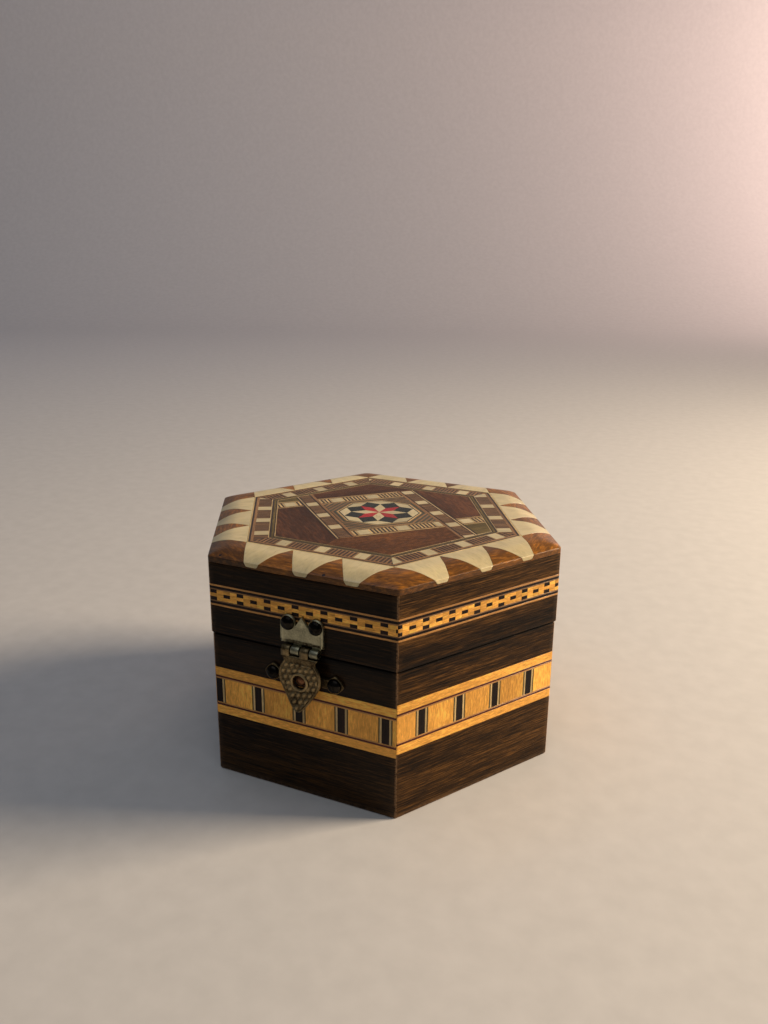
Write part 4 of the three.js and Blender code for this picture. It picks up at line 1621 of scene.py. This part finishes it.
def smooth_between(stops, share):
    """A smooth curve through the stops."""
    i = max(k for k in range(len(stops) - 1) if stops[k][0] <= share or k == 0)
    (x1, y1), (x2, y2) = stops[i], stops[i + 1]
    x0, y0 = stops[max(i - 1, 0)]
    x3, y3 = stops[min(i + 2, len(stops) - 1)]
    slope1 = (y2 - y0) / (x2 - x0)
    slope2 = (y3 - y1) / (x3 - x1)
    width = x2 - x1
    f = (share - x1) / width
    return (
        y1 * (2 * f**3 - 3 * f**2 + 1)
        + slope1 * width * (f**3 - 2 * f**2 + f)
        + y2 * (3 * f**2 - 2 * f**3)
        + slope2 * width * (f**3 - f**2)
    )


def eyelet(bench, centre):
    """A rolled ring round the hasp's hole."""
    latch = settings().latch
    inner = latch.hole_radius - 0.05 * MM
    outer = inner + 0.8 * MM
    thick = latch.sheet
    profile = [
        (inner, -0.04 * MM),
        (inner, thick + 0.1 * MM),
        (inner + 0.12 * MM, thick + 0.28 * MM),
        ((inner + outer) / 2, thick + 0.36 * MM),
        (outer - 0.12 * MM, thick + 0.26 * MM),
        (outer, thick + 0.02 * MM),
        (outer - 0.05 * MM, -0.04 * MM),
    ]
    wear = [0.0, 0.2, 0.8, 1.0, 0.8, 0.1, 0.0]
    turned(bench, profile, centre, TO_FRONT, "worn_brass", wear, 40)


def hasp_leaf(bench):
    """The hasp: pressed beads, an eyelet for the catch and a tip that bends outwards."""
    latch = settings().latch
    top = LATCH_AXIS_Z - latch.knuckle_radius - latch.knuckle_gap / 2
    back = LATCH_AXIS_Y - (latch.knuckle_radius - latch.sheet)
    # Shares of the length at which the tip starts to bend, and rim and beads start.
    bend = 0.45
    rim_start = 0.1
    bead_start = 0.12
    # The rim's distance from the border and half its width, and where no bead comes.
    rim_inset = 0.35 * MM
    half_rim = 0.3 * MM
    plain_border = 0.75 * MM
    plain_eyelet = 2.35 * MM
    rim_height = 0.45

    def half_width(share):
        return smooth_between(HASP_OUTLINE, share) * latch.hasp_width / 2

    def outline(share):
        half = half_width(share)
        return top - share * latch.hasp_length, LATCH_X - half, LATCH_X + half

    def place(x, z, out):
        share = max((top - z) / latch.hasp_length - bend, 0.0) / (1 - bend)
        return Vector((x, back - latch.hasp_flare * share**2 - out, z))

    def relief(x, z):
        share = (top - z) / latch.hasp_length
        dx = x - LATCH_X
        dz = z - CATCH_Z
        margin = half_width(min(max(share, 0.0), 1.0)) - abs(dx)
        rim = rim_height * max(0.0, 1 - abs(margin - rim_inset) / half_rim)
        beads = bead_pattern(dx, dz)
        if margin < plain_border or share < bead_start or math.hypot(dx, dz) < plain_eyelet:
            beads = 0.0
        return latch.bead_height * max(rim if share > rim_start else 0.0, beads)

    grid = grid_between(56, 78, outline)
    hole = (LATCH_X, CATCH_Z, latch.hole_radius + 0.12 * MM)
    pressed_sheet(bench, grid, place, relief, latch.sheet, "worn_brass", hole)
    eyelet(bench, place(LATCH_X, CATCH_Z, 0.0))
    for number in (0, 2):
        left, right = knuckle_span(number)
        knuckle(bench, left, right, "worn_brass")
        depths = (back, back - latch.sheet)
        web(bench, left, right, *depths, top - 0.1 * MM, LATCH_AXIS_Z, "worn_brass")


def bead_pattern(x, z):
    """Slanting rows of long beads, as heights from 0 to 1."""
    along = x * math.cos(BEAD_SLANT) + z * math.sin(BEAD_SLANT)
    across = -x * math.sin(BEAD_SLANT) + z * math.cos(BEAD_SLANT)
    row = round(across / ROW_PITCH)
    offset = (row % 2) * BEAD_PITCH / 2
    nearest = round((along - offset) / BEAD_PITCH) * BEAD_PITCH + offset
    from_middle = ((along - nearest) / HALF_BEAD[0], (across - row * ROW_PITCH) / HALF_BEAD[1])
    reach = from_middle[0] ** 2 + from_middle[1] ** 2
    return math.sqrt(1 - reach) if reach < 1 else 0.0


def plate_top(dx, nail_z, peak, spacing):
    """The plate's upper edge: a lobe round each nail and a pointed cusp between them."""
    lobe = (highest("latch_plate", 0) - LATCH_X) - spacing / 2
    from_nail = abs(dx) - spacing / 2
    dip = nail_z - 0.7 * MM
    cusp_slope = 1.5
    round_top = nail_z + math.sqrt(max(lobe**2 - from_nail**2, 0.0))
    if from_nail >= 0:
        return round_top
    if from_nail < -lobe:
        round_top = dip
    return max(round_top, peak - abs(dx) * cusp_slope, dip)


def latch_plate(bench):
    """The fixed plate with its lobes, cusp and two knuckles."""
    latch = settings().latch
    spacing = 2 * (middle_of("latch_plate_nail_right", 0) - LATCH_X)
    nail_z = middle_of("latch_plate_nail_left", 2)
    foot = LATCH_AXIS_Z + latch.knuckle_radius + latch.knuckle_gap / 2
    peak = highest("latch_plate", 2) + 0.1 * MM
    half = highest("latch_plate", 0) - LATCH_X
    back = highest("latch_plate", 1)
    columns = 64
    rows = 30
    grid = []
    for i in range(rows + 1):
        row = []
        for j in range(columns + 1):
            dx = half * math.sin(math.pi / 2 * (2 * j / columns - 1))
            top = plate_top(dx, nail_z, peak, spacing)
            row.append((LATCH_X + dx, foot + (top - foot) * i / rows))
        grid.append(row)
    # The rim's distance from the border and half its width, and the foot's plain strip.
    rim_inset = 0.55 * MM
    half_rim = 0.35 * MM
    plain_foot = 0.9 * MM
    # The pressed drop between the nails: its middle above them, and half its width and height.
    drop_rise = 0.2 * MM
    half_drop = (0.75 * MM, 1.1 * MM)
    relief_height = 0.22 * MM

    def relief(x, z):
        dx = x - LATCH_X
        margin = half - abs(dx)
        rim = max(0.0, 1 - abs(margin - rim_inset) / half_rim) if z < nail_z else 0.0
        step = 0.6 if z > foot + plain_foot else 0.0
        dz = z - nail_z - drop_rise
        drop = max(0.0, 1 - (dx / half_drop[0]) ** 2 - (dz / half_drop[1]) ** 2)
        return relief_height * max(rim, step, math.sqrt(drop))

    def place(x, z, out):
        return Vector((x, back - out, z))

    pressed_sheet(bench, grid, place, relief, latch.sheet, "antique_brass")
    for number in (1, 3):
        left, right = knuckle_span(number)
        knuckle(bench, left, right)
        web(bench, left, right, back, back - latch.sheet, LATCH_AXIS_Z, foot + 0.3 * MM)


def dome(radius, height, shank, shank_length):
    """The profile of a domed nail, from its point to the top of its head."""
    steps = 9
    rim = 0.06 * height
    profile = [(0.0, -shank_length), (shank, -shank_length), (shank, 0.0), (radius * 0.93, 0.0)]
    for step in range(steps):
        angle = math.pi / 2 * step / steps
        profile.append((radius * math.cos(angle), rim + (height - rim) * math.sin(angle)))
    profile.append((0.0, height))
    return profile


def nail(name, body):
    """A domed nail in the place of its node."""
    latch = settings().latch
    seat = lowest(name, 1) + latch.nail_height
    centre = Vector((middle_of(name, 0), seat, middle_of(name, 2)))
    profile = dome(latch.nail_radius, latch.nail_height, 0.5 * MM, latch.sheet)
    wear = [0.0] * 3 + [0.7, 1.0, 0.6, 0.2] + [0.0] * 6 + [0.35]
    bench = Bench(f"domed_{name}")
    turned(bench, profile, centre, TO_FRONT, "dark_brass", wear, 36)
    bench.make(body, [name], 50)


def catch_plate(bench, back):
    """A bar with a pointed ear at each end, round its nails."""
    latch = settings().latch
    nail_x = middle_of("catch_nail_right", 0) - LATCH_X
    ear = highest("catch_plate", 0) - LATCH_X - nail_x
    steps = 40
    half_turn = 0.78 * math.pi
    round_share = 0.86
    outline = []
    for hand in (1, -1):
        for step in range(steps + 1):
            angle = half_turn * (2 * step / steps - 1) + (0 if hand > 0 else math.pi)
            reach = ear * (round_share + (1 - round_share) * math.cos(2 * angle) ** 4)
            x = LATCH_X + hand * nail_x + reach * math.cos(angle)
            outline.append(Vector((x, CATCH_Z + reach * math.sin(angle))))
    eased = inset(outline, SHEET_EASE)
    rings = [(outline, 0.0), (outline, latch.sheet - SHEET_EASE), (eased, latch.sheet)]
    stations = [[Vector((p.x, back - out, p.y)) for p in ring] for ring, out in rings]
    wear = [share for share in (0.0, 0.3, 0.1) for _ in outline]
    loft(bench, stations, "worn_brass", bench.cut_of(TO_RIGHT, UP), 0.0, wear)


def pip(bench, back):
    """The domed pip that stands in the eyelet."""
    latch = settings().latch
    radius = latch.hole_radius - PIP_CLEARANCE
    height = back - lowest("hasp", 1) - latch.hasp_flare - 0.1 * MM
    steps = 8
    stem = 0.55 * height
    crown = 0.35 * height
    profile = [(0.0, 0.0), (radius, 0.0), (radius, stem)]
    for step in range(1, steps):
        angle = math.pi / 2 * step / steps
        profile.append((radius * math.cos(angle), stem + crown * math.sin(angle)))
    profile.append((0.0, stem + crown))
    wear = [0.0, 0.0, 0.1, 0.3, 0.2, 0.2, 0.2, 0.3, 0.4, 0.4, 0.5]
    centre = Vector((LATCH_X, back, CATCH_Z))
    turned(bench, profile, centre, TO_FRONT, "brown_brass", wear, 32)


def latch_pin(bench):
    """The pin through the latch's knuckles."""
    low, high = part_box("latch_pin")
    radius = (high[2] - low[2]) / 2
    span = high[0] - low[0]
    soft = 0.12 * MM
    profile = [(0.0, 0.0), (radius - soft, 0.0), (radius, soft)]
    profile += [(radius, span - soft), (radius - soft, span), (0.0, span)]
    origin = Vector((low[0], LATCH_AXIS_Y, LATCH_AXIS_Z))
    turned(bench, profile, origin, TO_RIGHT, "dark_brass")


# ------------------------------------------------------------------ operators


class BuildOperator:
    """What every building operator shares."""

    bl_options = {"REGISTER", "UNDO"}


class INLAIDBOX_OT_body_walls(BuildOperator, bpy.types.Operator):
    """Builds the six veneered walls of the body"""

    bl_idname = "inlaid_box.body_walls"
    bl_label = "Body Walls"

    def execute(self, context):
        for side, name in enumerate(SIDES):
            band = f"body_band_{name}"
            bench = Bench(f"veneered_body_wall_{name}")
            wall(bench, side, BODY_FACE, BODY_INNER, 0.0, BODY_TOP, band, 0.5 * MM)
            bench.make("box_body", [f"body_wall_{name}"])
        return {"FINISHED"}


class INLAIDBOX_OT_lid_walls(BuildOperator, bpy.types.Operator):
    """Builds the six veneered walls of the lid"""

    bl_idname = "inlaid_box.lid_walls"
    bl_label = "Lid Walls"

    def execute(self, context):
        for side, name in enumerate(SIDES):
            band = f"lid_band_{name}"
            bench = Bench(f"veneered_lid_wall_{name}")
            wall(bench, side, LID_FACE, LID_INNER, LID_FOOT, EDGE_FOOT, band, 0.25 * MM)
            bench.make("lid", [f"lid_wall_{name}"])
        return {"FINISHED"}


class INLAIDBOX_OT_wall_marquetry(BuildOperator, bpy.types.Operator):
    """Builds the bands that are let into the walls of body and lid"""

    bl_idname = "inlaid_box.wall_marquetry"
    bl_label = "Wall Marquetry"

    def execute(self, context):
        for side, name in enumerate(SIDES):
            node = f"body_band_{name}"
            bench = Bench(f"body_marquetry_{name}")
            body_band(bench, side, node)
            bench.make("box_body", [node])
            node = f"lid_band_{name}"
            bench = Bench(f"lid_marquetry_{name}")
            lid_band(bench, side, node)
            bench.make("lid", [node])
        return {"FINISHED"}


class INLAIDBOX_OT_lid_edge(BuildOperator, bpy.types.Operator):
    """Builds the toothed edge of bone and brown wood round the lid"""

    bl_idname = "inlaid_box.lid_edge"
    bl_label = "Lid Edge"

    def execute(self, context):
        surface = EdgeSurface()
        for side, name in enumerate(SIDES):
            bench = Bench(f"brown_edge_{name}")
            edge_ground(bench, side, surface)
            brown_teeth(bench, side, surface)
            corner_block(bench, side, surface)
            for hole_side, t, s in FILLED_HOLES:
                if hole_side == side:
                    filled_hole(bench, side, surface, t * MM, s * MM)
            bench.make("lid", [f"lid_edge_{name}"])
            bench = Bench(f"bone_teeth_{name}")
            bone_teeth(bench, side, surface)
            bench.make("lid", [f"lid_teeth_{name}"])
        return {"FINISHED"}


class INLAIDBOX_OT_lid_top(BuildOperator, bpy.types.Operator):
    """Builds the lid's board, its fields, the ring, the lattice and the star"""

    bl_idname = "inlaid_box.lid_top"
    bl_label = "Lid Top"

    def execute(self, context):
        bench = Bench("lid_board_with_fields")
        ground = LID_TOP - 1.0 * MM
        inner = LID_INNER - GLUE_LINE
        rim = RING_OUTER - 0.02 * MM
        profile = [
            (BOARD_CORE, BOARD_FOOT),
            (inner - 0.4 * MM, BOARD_FOOT),
            (inner, BOARD_FOOT + 0.4 * MM),
            (inner, EDGE_FOOT - 0.02 * MM),
            (rim, EDGE_FOOT),
            (rim, ground),
            (BOARD_CORE, ground),
        ]
        hexagon_stack(bench, profile, "carcass_wood")
        mahogany_fields(bench)
        bench.make("lid", ["lid_board"])
        bench = Bench("ring_marquetry")
        ring_marquetry(bench)
        bench.make("lid", ["lid_ring_banding"])
        bench = Bench("lattice_marquetry")
        lattice_marquetry(bench)
        bench.make("lid", ["lid_lattice_banding"])
        bench = Bench("star_marquetry")
        star_marquetry(bench)
        bench.make("lid", ["lid_star_tile"])
        outer = settings().marquetry.lattice_outer
        for name, hand in (("right", -1), ("left", 1)):
            bench = Bench(f"olive_field_{name}")
            limits = [lattice_limit(d, -outer, hand) for d in (LATTICE_U, LATTICE_V)]
            field(bench, limits, "olive_wood", LATTICE_V, 0.1 * hand)
            bench.make("lid", [f"lid_olive_field_{name}"])
        return {"FINISHED"}


class INLAIDBOX_OT_inside(BuildOperator, bpy.types.Operator):
    """Builds the floor board and the felt linings of body and lid"""

    bl_idname = "inlaid_box.inside"
    bl_label = "Inside"

    def execute(self, context):
        low, high = lowest("body_floor", 2), highest("body_floor", 2)
        apothem = highest("body_floor", 1)
        soft = 0.3 * MM
        bench = Bench("floor_board")
        profile = [
            (BOARD_CORE, low),
            (apothem - soft, low),
            (apothem, low + soft),
            (apothem, high),
            (BOARD_CORE, high),
        ]
        hexagon_stack(bench, profile, "carcass_wood")
        bench.make("box_body", ["body_floor"])
        felts = (
            ("floor_felt", "body_floor_lining", "box_body", "floor_board", 1),
            ("lid_felt", "lid_lining", "lid", "lid_board_with_fields", -1),
        )
        for name, node, body, ground, way in felts:
            self.felt(name, node, body, ground, way)
        return {"FINISHED"}

    def felt(self, name, node, body, ground, way):
        """A hexagon of felt, soft at its cut edge and slightly uneven on its open side."""
        low, high = lowest(node, 2), highest(node, 2)
        apothem = highest(node, 1)
        glued, shown = (low, high) if way > 0 else (high, low)
        thickness = shown - glued
        steps = 12
        profile = [(BOARD_CORE, glued), (apothem - 0.1 * MM, glued)]
        for inwards, rise in ((0.0, 0.35), (0.1, 0.7), (0.3, 0.9)):
            profile.append((apothem - inwards * MM, glued + thickness * rise))
        for step in range(steps):
            distance = (apothem - 0.7 * MM) * (1 - step / steps)
            profile.append((max(distance, BOARD_CORE), shown))
        bench = Bench(name)
        hexagon_stack(bench, profile, "cloth")
        felt = bench.make(body, [node], 60)


class INLAIDBOX_OT_latch(BuildOperator, bpy.types.Operator):
    """Builds the brass latch: plate, hasp, catch, pin and domed nails"""

    bl_idname = "inlaid_box.latch"
    bl_label = "Latch"

    def execute(self, context):
        bench = Bench("pressed_latch_plate")
        latch_plate(bench)
        bench.make("lid", ["latch_plate"], 40)
        bench = Bench("pressed_hasp")
        hasp_leaf(bench)
        bench.make("hasp", ["hasp"], 60)
        bench = Bench("catch_with_pip")
        back = highest("catch_plate", 1)
        catch_plate(bench, back)
        pip(bench, back)
        bench.make("box_body", ["catch_plate"], 40)
        bench = Bench("rolled_latch_pin")
        latch_pin(bench)
        bench.make("lid", ["latch_pin"])
        for hand in ("left", "right"):
            nail(f"latch_plate_nail_{hand}", "lid")
        for hand in ("left", "right"):
            nail(f"catch_nail_{hand}", "box_body")
        return {"FINISHED"}


class INLAIDBOX_OT_hinges(BuildOperator, bpy.types.Operator):
    """Finishes the two hinges at the back"""

    bl_idname = "inlaid_box.hinges"
    bl_label = "Hinges"

    def execute(self, context):
        for hinge in ("hinge_left", "hinge_right"):
            for part in ("body_leaf", "lid_leaf", "pin"):
                node = bpy.data.objects[f"{hinge}_{part}"]
                node.data.materials.clear()
                node.data.materials.append(finish("hinge_brass"))
        return {"FINISHED"}


class INLAIDBOX_OT_stage(BuildOperator, bpy.types.Operator):
    """Sets the floor, the lights and the camera"""

    bl_idname = "inlaid_box.stage"
    bl_label = "Stage"

    def execute(self, context):
        self.floor()
        self.lights()
        self.camera()
        return {"FINISHED"}

    def floor(self):
        """A floor that sweeps up into a backdrop behind the box."""
        half_width = 3.0
        front = -2.0
        bend = 1.1
        radius = 0.5
        height = 2.2
        stage = settings().stage
        turn = Matrix.Rotation(stage.azimuth, 4, "Z")
        path = [(front, 0.0), (bend, 0.0)]
        steps = 16
        for step in range(1, steps + 1):
            angle = math.pi / 2 * step / steps
            path.append((bend + radius * math.sin(angle), radius * (1 - math.cos(angle))))
        path.append((bend + radius, height))
        points = [turn @ Vector((x, y, z)) for y, z in path for x in (-half_width, half_width)]
        faces = [[2 * i, 2 * i + 1, 2 * i + 3, 2 * i + 2] for i in range(len(path) - 1)]
        mesh = bpy.data.meshes.new("floor_sweep")
        mesh.from_pydata(points, [], faces)
        for polygon in mesh.polygons:
            polygon.use_smooth = True
        mesh.materials.append(finish("floor"))
        sweep = bpy.data.objects.new("floor_sweep", mesh)
        bpy.context.collection.objects.link(sweep)

    def directions(self):
        """To the right and straight ahead, as the camera is turned."""
        azimuth = settings().stage.azimuth
        right = Vector((math.cos(azimuth), math.sin(azimuth), 0))
        ahead = Vector((-math.sin(azimuth), math.cos(azimuth), 0))
        return right, ahead

    def area_light(self, name, place, aim, size, watts, tone):
        lamp = bpy.data.lights.new(name, "AREA")
        lamp.shape = "RECTANGLE"
        lamp.size, lamp.size_y = size
        lamp.energy = watts
        lamp.color = tone
        light = bpy.data.objects.new(name, lamp)
        light.location = place
        light.rotation_euler = (Vector(aim) - Vector(place)).to_track_quat("-Z", "Y").to_euler()
        bpy.context.collection.objects.link(light)

    def lights(self):
        """A warm key from the right, a cool fill above and two lights for the backdrop."""
        stage = settings().stage
        right, ahead = self.directions()
        aim = UP * 0.03
        key = right * 0.75 + ahead * 0.05 + UP * 0.42
        self.area_light("key", key, aim, (0.3, 0.3), stage.key_power, (1.0, 0.8, 0.58))
        top = UP * 1.15 - ahead * 0.3 - right * 0.1
        self.area_light("fill", top, aim, (1.2, 1.2), stage.fill_power, (0.88, 0.93, 1.0))
        wash = ahead * 0.5 - right * 0.5 + UP * 1.5
        far = ahead * 1.6 + UP * 0.5
        self.area_light("wash", wash, far - right, (1.2, 0.8), stage.wash_power, (0.45, 0.62, 1.0))
        glow = ahead * 0.95 + right * 1.3 + UP * 0.45
        self.area_light("glow", glow, far + right, (0.5, 0.5), stage.glow_power, (1.0, 0.74, 0.66))
        world = bpy.data.worlds.new("studio")
        world.use_nodes = True
        background = world.node_tree.nodes["Background"]
        background.inputs["Color"].default_value = (0.64, 0.68, 0.76, 1.0)
        background.inputs["Strength"].default_value = 0.13
        bpy.context.scene.world = world
        bpy.context.scene.view_settings.view_transform = "Standard"

    def camera(self):
        stage = settings().stage
        right, level = self.directions()
        ahead = level * math.cos(stage.elevation) - UP * math.sin(stage.elevation)
        above = right.cross(ahead)
        leaning = right * math.cos(stage.roll) + above * math.sin(stage.roll)
        upright = above * math.cos(stage.roll) - right * math.sin(stage.roll)
        turn = Matrix((leaning, upright, -ahead)).transposed().to_4x4()
        lens = bpy.data.cameras.new("camera")
        lens.sensor_width = 36.0
        lens.lens = stage.lens
        lens.clip_start = 0.01
        camera = bpy.data.objects.new("camera", lens)
        camera.matrix_world = Matrix.Translation(Vector(stage.place)) @ turn
        bpy.context.collection.objects.link(camera)
        bpy.context.scene.camera = camera


class INLAIDBOX_PT_build(bpy.types.Panel):
    """Lists what can be built"""

    bl_idname = "INLAIDBOX_PT_build"
    bl_label = "Inlaid Box"
    bl_space_type = "VIEW_3D"
    bl_region_type = "UI"
    bl_category = "Inlaid Box"

    def draw(self, context):
        column = self.layout.column(align=True)
        for operator in OPERATORS:
            column.operator(operator.bl_idname)


SETTINGS = (
    ShellSettings,
    EdgeSettings,
    MarquetrySettings,
    LatchSettings,
    ColourSettings,
    StageSettings,
    BoxSettings,
)
OPERATORS = (
    INLAIDBOX_OT_body_walls,
    INLAIDBOX_OT_lid_walls,
    INLAIDBOX_OT_wall_marquetry,
    INLAIDBOX_OT_lid_edge,
    INLAIDBOX_OT_lid_top,
    INLAIDBOX_OT_inside,
    INLAIDBOX_OT_latch,
    INLAIDBOX_OT_hinges,
    INLAIDBOX_OT_stage,
)


def register():
    for cls in (*SETTINGS, *OPERATORS, INLAIDBOX_PT_build):
        bpy.utils.register_class(cls)
    bpy.types.Scene.inlaid_box = bpy.props.PointerProperty(type=BoxSettings)


def unregister():
    del bpy.types.Scene.inlaid_box
    for cls in reversed((*SETTINGS, *OPERATORS, INLAIDBOX_PT_build)):
        bpy.utils.unregister_class(cls)


def main():
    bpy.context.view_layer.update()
    register()
    for operator in OPERATORS:
        group, name = operator.bl_idname.split(".")
        getattr(getattr(bpy.ops, group), name)()


if __name__ == "__main__":
    main()
